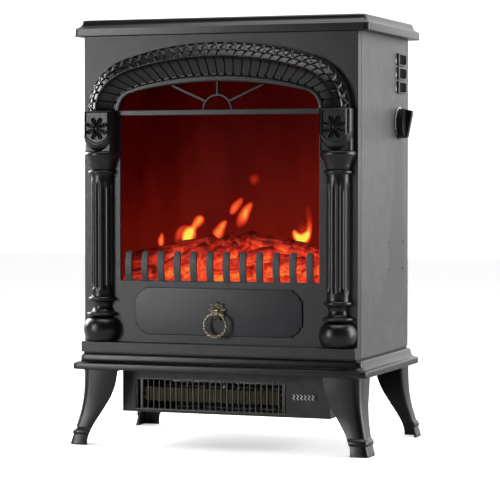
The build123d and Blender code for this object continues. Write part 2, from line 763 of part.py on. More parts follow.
# ---- Heating element and its frame ----
element_left = -118.0
element_right = 76.0
element_y = -72.0
element_z = 67.0
with BuildPart() as heating_element:
    for tube_z in (element_z - 4.5, element_z + 4.5):
        with BuildSketch(Plane.YZ.offset(element_left - 6)):
            with Locations((element_y, tube_z)):
                Circle(2.4)
        extrude(amount=element_right - element_left + 12)
    fin_mid = (element_left + element_right) / 2
    with Locations((fin_mid, element_y, element_z)):
        with GridLocations(4.0, 0, 48, 1):
            Box(0.6, 12, 18)
save(heating_element.part, "heating_element")

with BuildPart() as element_frame:
    for end_x in (element_left - 3, element_right + 3):
        with Locations((end_x, element_y, 69)):
            Box(2, 18, 46)
    for rail_z in (47, 91):
        with Locations((fin_mid, element_y, rail_z)):
            Box(element_right - element_left + 8, 18, 2)
    for tube_z in (element_z - 4.5, element_z + 4.5):
        with Locations((fin_mid, element_y, tube_z)):
            Cylinder(2.4, 260, rotation=(0, 90, 0), mode=Mode.SUBTRACT)
save(element_frame.part, "element_frame")

with BuildPart(Plane.XY.offset(92)) as thermal_cutout:
    with Locations((-50, element_y)):
        Cylinder(7, 5, align=(Align.CENTER, Align.CENTER, Align.MIN))
save(thermal_cutout.part, "thermal_cutout")

# ---- Cross-flow blower ----
wheel_left = -112.0
wheel_right = 72.0
with BuildPart() as blower_wheel:
    for disc_x in (wheel_left, -20, wheel_right - 2):
        with BuildSketch(Plane.YZ.offset(disc_x)):
            with Locations((fan_y, fan_z)):
                Circle(fan_r)
        extrude(amount=2)
    with BuildSketch(Plane.YZ.offset(wheel_left)):
        for blade in range(20):
            turn = radians(18 * blade)
            with Locations((fan_y + (fan_r - 3.6) * cos(turn), fan_z + (fan_r - 3.6) * sin(turn))):
                Rectangle(6.0, 0.8, rotation=18 * blade + 35)
    extrude(amount=wheel_right - wheel_left)
    with BuildSketch(Plane.YZ.offset(wheel_left - 12)):
        with Locations((fan_y, fan_z)):
            Circle(rod_r)
    extrude(amount=wheel_right - wheel_left + 36)
save(blower_wheel.part, "blower_wheel")

with BuildPart() as blower_scroll:
    with BuildSketch(Plane.YZ.offset(wheel_left - 6)):
        with Locations((fan_y, fan_z)):
            Circle(25)
            Circle(24, mode=Mode.SUBTRACT)
        with Locations((fan_y - 12, fan_z + 18)):
            Rectangle(34, 26, mode=Mode.SUBTRACT)
        with Locations((fan_y - 24, fan_z)):
            Rectangle(14, 30, mode=Mode.SUBTRACT)
    extrude(amount=wheel_right - wheel_left + 12)
    for plate_x in (wheel_left - 7, wheel_right + 6):
        with BuildSketch(Plane.YZ.offset(plate_x)):
            with Locations((fan_y, fan_z)):
                Circle(25)
                Circle(7, mode=Mode.SUBTRACT)
        extrude(amount=1)
save(blower_scroll.part, "blower_scroll")

with BuildPart(Plane.YZ.offset(wheel_left - 11)) as blower_bearing:
    with Locations((fan_y, fan_z)):
        Cylinder(9, 4, align=(Align.CENTER, Align.CENTER, Align.MIN))
        Cylinder(7, 6, align=(Align.CENTER, Align.CENTER, Align.MIN))
        Cylinder(rod_r + running_fit, 30, mode=Mode.SUBTRACT)
save(blower_bearing.part, "blower_bearing")

with BuildPart(Plane.YZ.offset(wheel_right + 12)) as blower_motor:
    with Locations((fan_y, fan_z)):
        Box(46, 42, 24, align=(Align.CENTER, Align.CENTER, Align.MIN))
        Cylinder(7, 5, align=(Align.CENTER, Align.CENTER, Align.MAX))
        Cylinder(rod_r + running_fit, 80, mode=Mode.SUBTRACT)
save(blower_motor.part, "blower_motor")

with BuildPart() as case_screws:
    for x, y in case_screw_places:
        with Locations(Plane(origin=(x, y, base_low - 1), z_dir=(0, 0, -1))):
            pan_screw(5, 3.4, 1.6)
    with Locations(Plane(origin=(-case_half, -40, 67), z_dir=(-1, 0, 0))):
        Cylinder(3.2, 1.6, align=(Align.CENTER, Align.CENTER, Align.MIN))
save(case_screws.part, "case_screws")

# ---- Cord gland and terminal block ----
cord_bore_r = 3.6
gland_plane = Plane(origin=(gland_x, back_y, gland_z), x_dir=(1, 0, 0), z_dir=(0, 1, 0))
with BuildPart(gland_plane) as cord_gland:
    Cylinder(11, 4, align=(Align.CENTER, Align.CENTER, Align.MIN))
    Cylinder(gland_r, 10, align=(Align.CENTER, Align.CENTER, Align.MAX))
    with Locations((0, 0, -1)):
        Cylinder(11, 4, align=(Align.CENTER, Align.CENTER, Align.MAX))
    Cylinder(cord_bore_r, 60, mode=Mode.SUBTRACT)
save(cord_gland.part, "cord_gland")

with BuildPart() as terminal_block:
    with Locations((-120, 90, body_low)):
        Box(36, 20, 16, align=(Align.CENTER, Align.CENTER, Align.MIN))
    with Locations((-120, 90, body_low + 16)):
        with GridLocations(11, 10, 3, 2):
            Cylinder(2.4, 4, align=(Align.CENTER, Align.CENTER, Align.MAX), mode=Mode.SUBTRACT)
save(terminal_block.part, "terminal_block")
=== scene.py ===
# %% [markdown]
# An electric stove fire, dressed up around its measured frame. The frame holds every part at its true size
# and place. These cells give each part the shape and finish that a maker would give it, one part at a time.
# Everything is in metres and the front looks along -Y. A part's box is read from the frame, and its own
# details are named in mm.

# %% Load the frame
import math
import random
import bmesh
import bpy
from mathutils import Matrix, Vector, noise


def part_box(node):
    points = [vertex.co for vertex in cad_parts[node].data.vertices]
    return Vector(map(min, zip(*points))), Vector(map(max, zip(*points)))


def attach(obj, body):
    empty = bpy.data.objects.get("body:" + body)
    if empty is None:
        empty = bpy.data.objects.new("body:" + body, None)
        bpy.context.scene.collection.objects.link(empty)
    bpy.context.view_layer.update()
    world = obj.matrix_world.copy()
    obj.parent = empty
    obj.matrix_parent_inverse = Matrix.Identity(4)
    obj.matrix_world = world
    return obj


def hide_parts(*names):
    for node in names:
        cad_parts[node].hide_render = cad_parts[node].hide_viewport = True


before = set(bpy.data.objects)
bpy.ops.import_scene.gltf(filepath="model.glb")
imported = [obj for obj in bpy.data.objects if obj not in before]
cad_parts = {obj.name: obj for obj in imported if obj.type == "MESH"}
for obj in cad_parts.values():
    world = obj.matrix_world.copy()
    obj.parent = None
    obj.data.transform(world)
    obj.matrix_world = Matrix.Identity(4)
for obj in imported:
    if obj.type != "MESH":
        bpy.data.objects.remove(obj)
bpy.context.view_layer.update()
MM = 0.001

# %% [markdown]
# The camera comes first, because everything is judged through it. It stands low, about two thirds up the
# stove, far enough back for a long lens and twenty degrees to the right of the front, and looks very
# slightly down.

# %% Camera
lens_angle = math.radians(19.995)
camera_data = bpy.data.cameras.new("view_camera")
camera_data.sensor_width = 36
camera_data.lens = 155.31
camera_data.clip_end = 30
camera = bpy.data.objects.new("view_camera", camera_data)
camera.location = (0.9976, -2.7305, 0.3627)
camera.rotation_euler = (math.radians(90 - 1.864), 0, lens_angle)
bpy.context.scene.collection.objects.link(camera)
bpy.context.scene.camera = camera
print("camera at", tuple(round(c, 3) for c in camera.location))

# %% [markdown]
# A studio is a white sweep and a few big soft lamps. The cabinet is black, so what the eye sees on it is
# mostly the studio's reflection: a tall lamp on the left draws the bright line on every round part, one on
# the right washes the side panel, and one overhead lights the lid. The room is dark towards the camera,
# which keeps the blacks deep.

# %% Floor, world and lamps
bpy.context.scene.view_settings.view_transform = "Standard"


def studio_world():
    """A white room that is darker towards the camera's side, so that black parts keep black middles."""
    world = bpy.data.worlds.new("studio")
    bpy.context.scene.world = world
    world.use_nodes = True
    tree = world.node_tree
    coords = tree.nodes.new("ShaderNodeTexCoord")
    split = tree.nodes.new("ShaderNodeSeparateXYZ")
    tree.links.new(coords.outputs["Generated"], split.inputs[0])
    ramp = tree.nodes.new("ShaderNodeValToRGB")
    ramp.color_ramp.elements[0].position = 0.56
    ramp.color_ramp.elements[0].color = (0.008, 0.008, 0.010, 1)
    ramp.color_ramp.elements[1].position = 0.70
    ramp.color_ramp.elements[1].color = (1.0, 1.0, 1.0, 1)
    shift = tree.nodes.new("ShaderNodeMath")
    shift.operation = "MULTIPLY_ADD"
    shift.inputs[1].default_value = 0.5
    shift.inputs[2].default_value = 0.5
    tree.links.new(split.outputs["Y"], shift.inputs[0])
    tree.links.new(shift.outputs[0], ramp.inputs[0])
    background = tree.nodes["Background"]
    tree.links.new(ramp.outputs[0], background.inputs["Color"])
    background.inputs["Strength"].default_value = 1.5


def soft_lamp(name, place, aim, size, power):
    """A rectangular softbox at a place, turned to look at a point."""
    data = bpy.data.lights.new(name, "AREA")
    data.shape = "RECTANGLE"
    data.size, data.size_y = size
    data.energy = power
    lamp = bpy.data.objects.new(name, data)
    lamp.location = place
    lamp.rotation_euler = (Vector(aim) - Vector(place)).to_track_quat("-Z", "Y").to_euler()
    bpy.context.scene.collection.objects.link(lamp)
    return lamp


studio_world()
soft_lamp("key_softbox", (-1.29, -1.84, 0.50), (0, 0, 0.33), (0.55, 0.95), 20)
soft_lamp("left_rim_softbox", (-1.5, 0.36, 0.86), (0, 0, 0.40), (0.9, 0.9), 38)
soft_lamp("right_softbox", (1.75, 0.35, 0.45), (0.2, 0, 0.3), (0.9, 1.8), 34)
soft_lamp("top_softbox", (0.15, -0.3, 2.0), (0.1, 0, 0.3), (1.6, 1.4), 27)

floor_mesh = bmesh.new()
bmesh.ops.create_grid(floor_mesh, x_segments=2, y_segments=2, size=6)
floor_data = bpy.data.meshes.new("studio_floor")
floor_mesh.to_mesh(floor_data)
floor_mesh.free()
studio_floor = bpy.data.objects.new("studio_floor", floor_data)
bpy.context.scene.collection.objects.link(studio_floor)
floor_paint = bpy.data.materials.new("floor_paper")
floor_paint.use_nodes = True
paper = floor_paint.node_tree.nodes["Principled BSDF"]
paper.inputs["Roughness"].default_value = 0.9
paper.inputs["Emission Color"].default_value = (1, 1, 1, 1)
seen_by = floor_paint.node_tree.nodes.new("ShaderNodeLightPath").outputs["Is Camera Ray"]
paper_tint = floor_paint.node_tree.nodes.new("ShaderNodeMix")
paper_tint.data_type = "RGBA"
paper_tint.inputs["A"].default_value = (0.34, 0.34, 0.35, 1)
paper_tint.inputs["B"].default_value = (0.95, 0.95, 0.95, 1)
floor_paint.node_tree.links.new(seen_by, paper_tint.inputs["Factor"])
floor_paint.node_tree.links.new(paper_tint.outputs["Result"], paper.inputs["Base Color"])
paper_glow = floor_paint.node_tree.nodes.new("ShaderNodeMath")
paper_glow.operation = "MULTIPLY"
paper_glow.inputs[1].default_value = 0.42
floor_paint.node_tree.links.new(seen_by, paper_glow.inputs[0])
floor_paint.node_tree.links.new(paper_glow.outputs[0], paper.inputs["Emission Strength"])
floor_data.materials.append(floor_paint)

# %% [markdown]
# Finishes are built from small shared effects. Each effect is a node group with named sockets: moulded
# grain for a height, edges lightened partly by rubbed wear and partly by a painted highlight, and dust, for a
# colour, and smears for roughness. A material then places the effects it needs with its own values, so one
# idea about wear and painted edge highlights serves every part.

# %% Shared effects


def new_group(name, inputs, outputs):
    """An empty shader group with its named sockets, and the two nodes that stand for them."""
    group = bpy.data.node_groups.new(name, "ShaderNodeTree")
    for socket, kind, value in inputs:
        item = group.interface.new_socket(socket, in_out="INPUT", socket_type=kind)
        item.default_value = value
    for socket, kind in outputs:
        group.interface.new_socket(socket, in_out="OUTPUT", socket_type=kind)
    return group, group.nodes.new("NodeGroupInput"), group.nodes.new("NodeGroupOutput")


def math_node(tree, operation, first, second, third=None, clamp=False):
    """A Math node whose sockets take a number or another node's output."""
    node = tree.nodes.new("ShaderNodeMath")
    node.operation = operation
    node.use_clamp = clamp
    for index, value in enumerate((first, second, third)):
        if value is None:
            continue
        if isinstance(value, (int, float)):
            node.inputs[index].default_value = value
        else:
            tree.links.new(value, node.inputs[index])
    return node.outputs[0]


def noise_node(tree, vector, scale, detail=4.0, rough=0.55):
    """A noise texture on a vector, at a scale that may come from a socket."""
    node = tree.nodes.new("ShaderNodeTexNoise")
    node.inputs["Detail"].default_value = detail
    node.inputs["Roughness"].default_value = rough
    tree.links.new(vector, node.inputs["Vector"])
    if isinstance(scale, (int, float)):
        node.inputs["Scale"].default_value = scale
    else:
        tree.links.new(scale, node.inputs["Scale"])
    return node.outputs["Fac"]


def grain_group():
    """Fine moulded or sprayed grain: a height that mixes a fine stipple with a slow ripple."""
    group, given, result = new_group(
        "surface_grain",
        [("Vector", "NodeSocketVector", (0, 0, 0)), ("Fine Scale", "NodeSocketFloat", 900.0),
         ("Ripple Scale", "NodeSocketFloat", 40.0), ("Ripple Share", "NodeSocketFloat", 0.3)],
        [("Height", "NodeSocketFloat")],
    )
    fine = noise_node(group, given.outputs["Vector"], given.outputs["Fine Scale"], 3.0)
    ripple = noise_node(group, given.outputs["Vector"], given.outputs["Ripple Scale"], 2.0)
    scaled = math_node(group, "MULTIPLY", ripple, given.outputs["Ripple Share"])
    group.links.new(math_node(group, "ADD", fine, scaled), result.inputs["Height"])
    return group


def wear_and_highlight_group():
    """Colour with edges lightened, partly as rubbed wear and partly as a painted highlight, and settled dust. Edges
    come from pointiness, dust from up-facing surfaces.
    """
    group, given, result = new_group(
        "edge_wear_and_highlight",
        [("Vector", "NodeSocketVector", (0, 0, 0)), ("Base", "NodeSocketColor", (0.03, 0.03, 0.03, 1)),
         ("Edge", "NodeSocketColor", (0.1, 0.1, 0.1, 1)), ("Edge Share", "NodeSocketFloat", 0.5),
         ("Dust", "NodeSocketFloat", 0.1)],
        [("Color", "NodeSocketColor"), ("Edge Mask", "NodeSocketFloat")],
    )
    # Sharp edges, found by pointiness, are mixed towards the Edge colour: partly rubbed wear, partly a painted
    # highlight where an edge would catch the light.
    geometry = group.nodes.new("ShaderNodeNewGeometry")
    lifted = math_node(group, "SUBTRACT", geometry.outputs["Pointiness"], 0.515)
    sharp = math_node(group, "MULTIPLY", lifted, 14.0, clamp=True)
    patch = noise_node(group, given.outputs["Vector"], 60.0, 5.0)
    patchy = math_node(group, "MULTIPLY_ADD", patch, 2.2, -0.5, clamp=True)
    broken = math_node(group, "MULTIPLY", sharp, patchy)
    mask = math_node(group, "MULTIPLY", broken, given.outputs["Edge Share"], clamp=True)
    mix = group.nodes.new("ShaderNodeMix")
    mix.data_type = "RGBA"
    group.links.new(mask, mix.inputs["Factor"])
    group.links.new(given.outputs["Base"], mix.inputs["A"])
    group.links.new(given.outputs["Edge"], mix.inputs["B"])
    normal = group.nodes.new("ShaderNodeSeparateXYZ")
    group.links.new(geometry.outputs["Normal"], normal.inputs[0])
    up = math_node(group, "MULTIPLY_ADD", normal.outputs["Z"], 1.6, -0.7, clamp=True)
    fluff = noise_node(group, given.outputs["Vector"], 22.0, 6.0)
    settled = math_node(group, "MULTIPLY", math_node(group, "MULTIPLY", up, fluff), given.outputs["Dust"])
    dusty = group.nodes.new("ShaderNodeMix")
    dusty.data_type = "RGBA"
    group.links.new(settled, dusty.inputs["Factor"])
    group.links.new(mix.outputs["Result"], dusty.inputs["A"])
    dusty.inputs["B"].default_value = (0.34, 0.33, 0.31, 1)
    group.links.new(dusty.outputs["Result"], result.inputs["Color"])
    group.links.new(mask, result.inputs["Edge Mask"])
    return group


def smear_group():
    """Roughness that drifts in soft patches and thin wipe marks, as a wiped surface has."""
    group, given, result = new_group(
        "wipe_smears",
        [("Vector", "NodeSocketVector", (0, 0, 0)), ("Roughness", "NodeSocketFloat", 0.4),
         ("Amount", "NodeSocketFloat", 0.1)],
        [("Roughness", "NodeSocketFloat")],
    )
    slow = noise_node(group, given.outputs["Vector"], 9.0, 4.0)
    stretch = group.nodes.new("ShaderNodeMapping")
    stretch.inputs["Scale"].default_value = (18.0, 18.0, 120.0)
    group.links.new(given.outputs["Vector"], stretch.inputs["Vector"])
    wipes = noise_node(group, stretch.outputs[0], 1.0, 3.0)
    both = math_node(group, "ADD", slow, wipes)
    centred = math_node(group, "SUBTRACT", both, 1.0)
    drift = math_node(group, "MULTIPLY_ADD", centred, given.outputs["Amount"], given.outputs["Roughness"])
    group.links.new(drift, result.inputs["Roughness"])
    return group


effects = {"grain": grain_group(), "wear_and_highlight": wear_and_highlight_group(), "smear": smear_group()}
print("effects", sorted(group.name for group in effects.values()))

# %% [markdown]
# Most parts share one recipe: a base colour that is lighter at the edges, partly as rubbed wear and partly as
# a painted highlight, and dusty on top, a roughness with smears, and a fine grain in the bump. The recipe is
# one function, and each finish below is one call with its own numbers.

# %% The recipe for a solid finish


def place_effect(tree, effect, vector, values):
    """Place a shared effect in a material and give its sockets their values."""
    node = tree.nodes.new("ShaderNodeGroup")
    node.node_tree = effects[effect]
    tree.links.new(vector, node.inputs["Vector"])
    for socket, value in values.items():
        node.inputs[socket].default_value = value
    return node


def new_look(name):
    """A material, its tree, its shader and its Object coordinates."""
    material = bpy.data.materials.new(name)
    material.use_nodes = True
    tree = material.node_tree
    coords = tree.nodes.new("ShaderNodeTexCoord")
    return material, tree, tree.nodes["Principled BSDF"], coords.outputs["Object"]


def solid_look(name, base, edge, rough, grain=900.0, height=0.02, smear=0.08, edge_share=0.4, dust=0.06,
               metal=0.0, ripple=0.3, coat=0.0, specular=0.5):
    """A painted, moulded or metal surface with grain, edges lightened by wear and by a painted highlight, dust and wipe
    marks.
    """
    material, tree, shader, vector = new_look(name)
    wear_and_highlight = place_effect(tree, "wear_and_highlight", vector, {"Base": (*base, 1), "Edge": (*edge, 1), "Edge Share": edge_share,
                                               "Dust": dust})
    tree.links.new(wear_and_highlight.outputs["Color"], shader.inputs["Base Color"])
    smears = place_effect(tree, "smear", vector, {"Roughness": rough, "Amount": smear})
    tree.links.new(smears.outputs["Roughness"], shader.inputs["Roughness"])
    skin = place_effect(tree, "grain", vector, {"Fine Scale": grain, "Ripple Share": ripple})
    bump = tree.nodes.new("ShaderNodeBump")
    bump.inputs["Strength"].default_value = height
    bump.inputs["Distance"].default_value = 0.001
    tree.links.new(skin.outputs["Height"], bump.inputs["Height"])
    tree.links.new(bump.outputs[0], shader.inputs["Normal"])
    shader.inputs["Metallic"].default_value = metal
    shader.inputs["Coat Weight"].default_value = coat
    shader.inputs["Specular IOR Level"].default_value = specular
    return material


# Each finish's second colour is its edge colour: partly rubbed wear and partly a painted highlight along the edges.
black_moulding = solid_look(
    "black_moulding", (0.004, 0.0042, 0.0050), (0.04, 0.04, 0.044), 0.30, 1500, 0.12, 0.02, 0.4, 0.02)
fascia_black = solid_look(
    "fascia_black", (0.005, 0.0055, 0.0085), (0.04, 0.04, 0.044), 0.32, 1100, 0.25, 0.03, 0.4, 0.02)
side_paint = solid_look(
    "side_paint", (0.029, 0.028, 0.027), (0.12, 0.12, 0.12), 0.42, 1300, 0.5, 0.03, 0.4, 0.04, specular=0.7)
case_paint = solid_look(
    "case_paint", (0.009, 0.0095, 0.0115), (0.07, 0.07, 0.07), 0.46, 1200, 0.35, 0.04, 0.4, 0.02, specular=0.4)
cast_grey = solid_look("cast_grey", (0.028, 0.036, 0.040), (0.16, 0.18, 0.19), 0.38, 700, 0.5, 0.1, 0.6)
grille_enamel = solid_look("grille_enamel", (0.075, 0.068, 0.055), (0.22, 0.2, 0.16), 0.4, 900, 0.3, 0.1, 0.6)
antique_brass = solid_look(
    "antique_brass", (0.22, 0.18, 0.12), (0.85, 0.78, 0.64), 0.26, 500, 0.4, 0.15, 1.0, 0.04, 1.0, 0.6)
zinc_steel = solid_look(
    "zinc_steel", (0.42, 0.43, 0.44), (0.7, 0.7, 0.7), 0.38, 300, 0.2, 0.2, 0.4, 0.03, 1.0)
black_zinc = solid_look(
    "black_zinc", (0.03, 0.03, 0.032), (0.25, 0.25, 0.25), 0.35, 700, 0.2, 0.1, 0.8, 0.03, 0.6)
nylon_white = solid_look("nylon_white", (0.62, 0.61, 0.56), (0.75, 0.74, 0.7), 0.5, 600, 0.15, 0.1)
nylon_black = solid_look(
    "nylon_black", (0.008, 0.008, 0.009), (0.05, 0.05, 0.05), 0.42, 800, 0.2, 0.08, dust=0.03, specular=0.2)
rocker_black = solid_look(
    "rocker_black", (0.003, 0.003, 0.003), (0.02, 0.02, 0.02), 0.6, 1200, 0.08, 0.04, dust=0.0, specular=0.04)
knob_black = solid_look(
    "knob_black", (0.006, 0.006, 0.006), (0.05, 0.05, 0.05), 0.38, 800, 0.15, 0.06, dust=0.02, specular=0.2)
bezel_black = solid_look(
    "bezel_black", (0.016, 0.016, 0.016), (0.08, 0.08, 0.08), 0.42, 800, 0.2, 0.08, dust=0.03, specular=0.6)
mark_print = solid_look("mark_print", (0.72, 0.72, 0.70), (0.8, 0.8, 0.8), 0.5, 700, 0.1, 0.05)
board_green = solid_look("board_green", (0.02, 0.10, 0.035), (0.1, 0.3, 0.1), 0.3, 400, 0.2, 0.1)
browned_alloy = solid_look(
    "browned_alloy", (0.13, 0.115, 0.08), (0.3, 0.27, 0.2), 0.55, 500, 0.4, 0.2, 0.5, 0.05, 0.4)
bright_foil = solid_look("bright_foil", (0.8, 0.8, 0.8), (0.9, 0.9, 0.9), 0.18, 200, 0.3, 0.15, 0.2, 0.0, 1.0)
print("solid finishes", len(bpy.data.materials))

# %% [markdown]
# Every new piece is finished the same way. Its faces are turned outwards, its shading is smooth except
# across hard edges, it is told which body it rides on, and the frame parts it stands for are hidden. Three
# small tools serve many pieces: one adds a block, one bevels chosen edges, and one gives a carved sheet its
# flat back.

# %% Finish a piece


def make_piece(name, shape, look, body="cabinet", stands_for=(), hard=32, turn=True):
    """Turn a bmesh into a finished piece that rides on a body."""
    if turn:
        bmesh.ops.recalc_face_normals(shape, faces=shape.faces)
    mesh = bpy.data.meshes.new(name)
    shape.to_mesh(mesh)
    shape.free()
    mesh.materials.append(look)
    mesh.shade_smooth()
    mesh.set_sharp_from_angle(angle=math.radians(hard))
    piece = bpy.data.objects.new(name, mesh)
    bpy.context.scene.collection.objects.link(piece)
    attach(piece, body)
    if stands_for:
        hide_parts(*stands_for)
    print(name, "faces", len(mesh.polygons))
    return piece


def bevel_edges(shape, edges, width, segments):
    """Round chosen edges by a width in mm."""
    bmesh.ops.bevel(shape, geom=edges, offset=width * MM, offset_type="OFFSET", affect="EDGES", segments=segments,
                    profile=0.5, material=-1, clamp_overlap=True)


def round_hard_edges(shape, width, segments=2, angle=30):
    """Bevel every edge sharper than an angle, the way a mould or a file rounds it."""
    limit = math.radians(angle)
    hard = [edge for edge in shape.edges if len(edge.link_faces) == 2 and edge.calc_face_angle(0.0) > limit]
    bevel_edges(shape, hard, width, segments)


def add_block(shape, middle, size):
    """Add a block of a size (metres) about its middle."""
    bmesh.ops.create_cube(shape, size=1, matrix=Matrix.Translation(middle) @ Matrix.Diagonal((*size, 1)))


def give_back(shape, axis, level):
    """Close a carved sheet: its faces are extruded and laid flat at a level along Y (1) or Z (2)."""
    back = bmesh.ops.extrude_face_region(shape, geom=shape.faces[:], use_keep_orig=True)["geom"]
    for vertex in (each for each in back if isinstance(each, bmesh.types.BMVert)):
        vertex.co[axis] = level


def box_middle(low, high):
    """The middle of a box given by its two corners."""
    return Vector([(a + b) / 2 for a, b in zip(low, high)])


def softened(node, look, width=0.6, segments=2, angle=30, body="cabinet"):
    """A copy of a frame part with its hard edges rounded, standing for that part."""
    shape = bmesh.new()
    shape.from_mesh(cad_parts[node].data)
    bmesh.ops.remove_doubles(shape, verts=shape.verts, dist=0.004 * MM)
    bmesh.ops.dissolve_limit(shape, angle_limit=math.radians(0.6), verts=shape.verts, edges=shape.edges)
    round_hard_edges(shape, width, segments, angle)
    piece = make_piece(node + "_shaped", shape, look, body, (node,), turn=False)
    for face in piece.data.polygons:
        face.use_smooth = max(abs(part) for part in face.normal) < 0.99
    return piece


def dress(look, *nodes):
    """Give frame parts whose shape is already right a finish."""
    for node in nodes:
        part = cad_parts[node]
        part.data.materials.clear()
        part.data.materials.append(look)


# %% [markdown]
# The lid and the base are moulded slabs. On the real stove each has a plain rim, a narrow ledge, a hollow
# cove and a smaller flat face. A lathe or a router would cut that profile in passes, and so does this: the
# top face is drawn in and lifted again and again, each pass a step of the profile, so the corners mitre by
# themselves.

# %% Lid and base
cove_passes = ((0.4, 0.0), (1.0, 0.3), (1.5, 0.7), (1.9, 1.3), (3.2, 1.7), (4.8, 2.5), (6.2, 3.6), (7.3, 5.0),
               (8.1, 6.6), (8.6, 8.2), (8.8, 9.4), (9.1, 10.3), (9.8, 11.1), (10.8, 11.6), (11.8, 11.9), (12.9, 12.0))


def moulded_slab(name, node, rim_high, top_gap, passes, look, rise):
    """A slab the size of a frame part, its rim rounded, its top drawn in by passes to a smaller raised face."""
    low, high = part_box(node)
    size = Vector((high[0] - low[0], high[1] - low[1], rim_high))
    middle = Vector(((high[0] + low[0]) / 2, (high[1] + low[1]) / 2, low[2] + rim_high / 2))
    shape = bmesh.new()
    add_block(shape, middle, size)
    upright = [edge for edge in shape.edges if abs(edge.verts[0].co.z - edge.verts[1].co.z) > rim_high / 2]
    bevel_edges(shape, upright, 9, 8)
    under = min(shape.faces, key=lambda face: face.calc_center_median().z)
    bevel_edges(shape, list(under.edges), 0.8, 3)
    face = max(shape.faces, key=lambda each: each.calc_center_median().z)
    reach = passes[-1][0]
    last_wide, last_deep = size.x / 2, size.y / 2
    for inwards, up in passes:
        share = inwards / reach
        wide = size.x / 2 - share * top_gap[0]
        deep = size.y / 2 - share * top_gap[1]
        bmesh.ops.inset_region(shape, faces=[face], thickness=0.01 * MM, depth=0, use_even_offset=True)
        for vertex in face.verts:
            vertex.co.x = middle.x + (vertex.co.x - middle.x) * wide / last_wide
            vertex.co.y = middle.y + (vertex.co.y - middle.y) * deep / last_deep
            vertex.co.z = low[2] + rim_high + up / passes[-1][1] * rise
        last_wide, last_deep = wide, deep
    return make_piece(name, shape, look, "cabinet", (node,), hard=40)


lid_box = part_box("top_plate")
lid_rim = 9.8 * MM
lid_rise = lid_box[1][2] - lid_box[0][2] - lid_rim
moulded_slab("lid_moulding", "top_plate", lid_rim, (10.8 * MM, 10.8 * MM), cove_passes, black_moulding, lid_rise)
base_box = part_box("base_plate")
base_rim = 7.4 * MM
base_passes = ((0.2, 0.6), (0.6, 1.1), (1.2, 1.5), (2.0, 1.7), (3.6, 1.9), (5.2, 2.6), (6.6, 4.0), (7.6, 6.0),
               (8.3, 8.4), (8.7, 10.6), (9.0, 12.0), (9.8, 13.0), (10.8, 13.6), (11.8, 13.9), (12.9, 14.0))
base_rise = base_box[1][2] - base_box[0][2] - base_rim
moulded_slab("base_moulding", "base_plate", base_rim, (13 * MM, 10 * MM), base_passes, black_moulding, base_rise)

# %% [markdown]
# The arch round the window is one long moulding that carries four bands: a flat rim, a hollow band of ribs
# like the folds of a fan, a row of small bricks and a zigzag, closed by a bead. A carver would sink all of
# this into one blank, so it is made as a relief: a fine grid is laid along the arch, every point is lifted
# by the sum of the bands' profiles, and the sheet is then given its back.

# %% Arch surround
face_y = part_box("arch_surround")[1][1]
spring_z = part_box("arch_surround")[0][2]
window_arch = (138.2, 480.2 - spring_z / MM, 24.0)
outer_arch = (181.0, 531.5 - spring_z / MM, 70.0)


def arch_point(half, rise, shoulder, along):
    """A point on a three-centred arch, at a share of its length from the left foot. Returns X and height in mm."""
    big = (half**2 + rise**2 - 2 * half * shoulder) / (2 * (rise - shoulder))
    lean = math.atan2(half - shoulder, big - rise)
    small_arc = shoulder * (math.pi / 2 - lean)
    step = min(along, 1 - along) * 2 * (small_arc + big * lean)
    side = -1 if along < 0.5 else 1
    if step < small_arc:
        turn = step / shoulder
        return side * (half - shoulder + shoulder * math.cos(turn)), shoulder * math.sin(turn)
    turn = lean - (step - small_arc) / big
    return side * big * math.sin(turn), rise - big + big * math.cos(turn)


def ramp(value, *points):
    """Straight-line reading of a curve given as (place, height) points."""
    for (x0, y0), (x1, y1) in zip(points, points[1:]):
        if value <= x1:
            return y0 + (y1 - y0) * max(0.0, (value - x0)) / (x1 - x0)
    return points[-1][1]


def ridge(offset, width):
    """A rounded ridge: 1 on its line, 0 beyond its half width."""
    return max(0.0, 1 - (offset / width) ** 2) ** 0.5 if abs(offset) < width else 0.0


rib_count = 30
brick_count = 33
lattice_count = 33


def arch_relief(along, share):
    """How far the moulding stands off the face, in mm, at a share of its length and a share of its width."""
    if share < 0.165:
        return ramp(share, (0.0, 3.2), (0.02, 4.0), (0.135, 4.0), (0.165, 3.2))
    rib = (along * rib_count) % 1 - 0.5
    if share < 0.205:
        bead = ridge(abs(rib) - 0.5, 0.16) * ridge(share - 0.186, 0.021)
        return 3.2 + 3.6 * bead
    if share < 0.63:
        sunk = (share - 0.205) / 0.425
        hollow = 4.4 + 15.4 * (0.35 * sunk + 0.65 * (1 - math.sqrt(1 - sunk**2 * 0.96)) / 0.8)
        seam = max(0.0, 1 - (0.5 - abs(rib)) / 0.045)
        fold = (rib + 0.5) * min(1, sunk * 5) * (1 - 0.4 * sunk)
        return min(20.6, hollow) - 1.6 * seam + 1.5 * fold
    if share < 0.645:
        return 19.4
    if share < 0.785:
        brick = (along * brick_count) % 1 - 0.5
        edge = min(1.0, max(0.0, (0.40 - abs(brick)) / 0.05))
        sides = min(1.0, (share - 0.645) / 0.010, (0.785 - share) / 0.010)
        return 18.2 - 30.0 * (share - 0.645) + 2.2 * min(edge, sides)
    if share < 0.80:
        return 13.6
    if share < 0.97:
        across = (share - 0.80) / 0.17
        slope = ramp(across, (0, 14.8), (0.5, 11.8), (1, 7.6))
        phase = along * lattice_count
        first = ((phase - 0.5 * across + 0.5) % 1) - 0.5
        second = ((phase + 0.5 * across + 0.5) % 1) - 0.5
        line = max(ridge(first, 0.10), ridge(second, 0.10), ridge(across, 0.12), ridge(1 - across, 0.12))
        return slope + 2.1 * line
    return ramp(share, (0.97, 6.4), (0.978, 8.6), (0.992, 8.6), (1.0, 6.0))


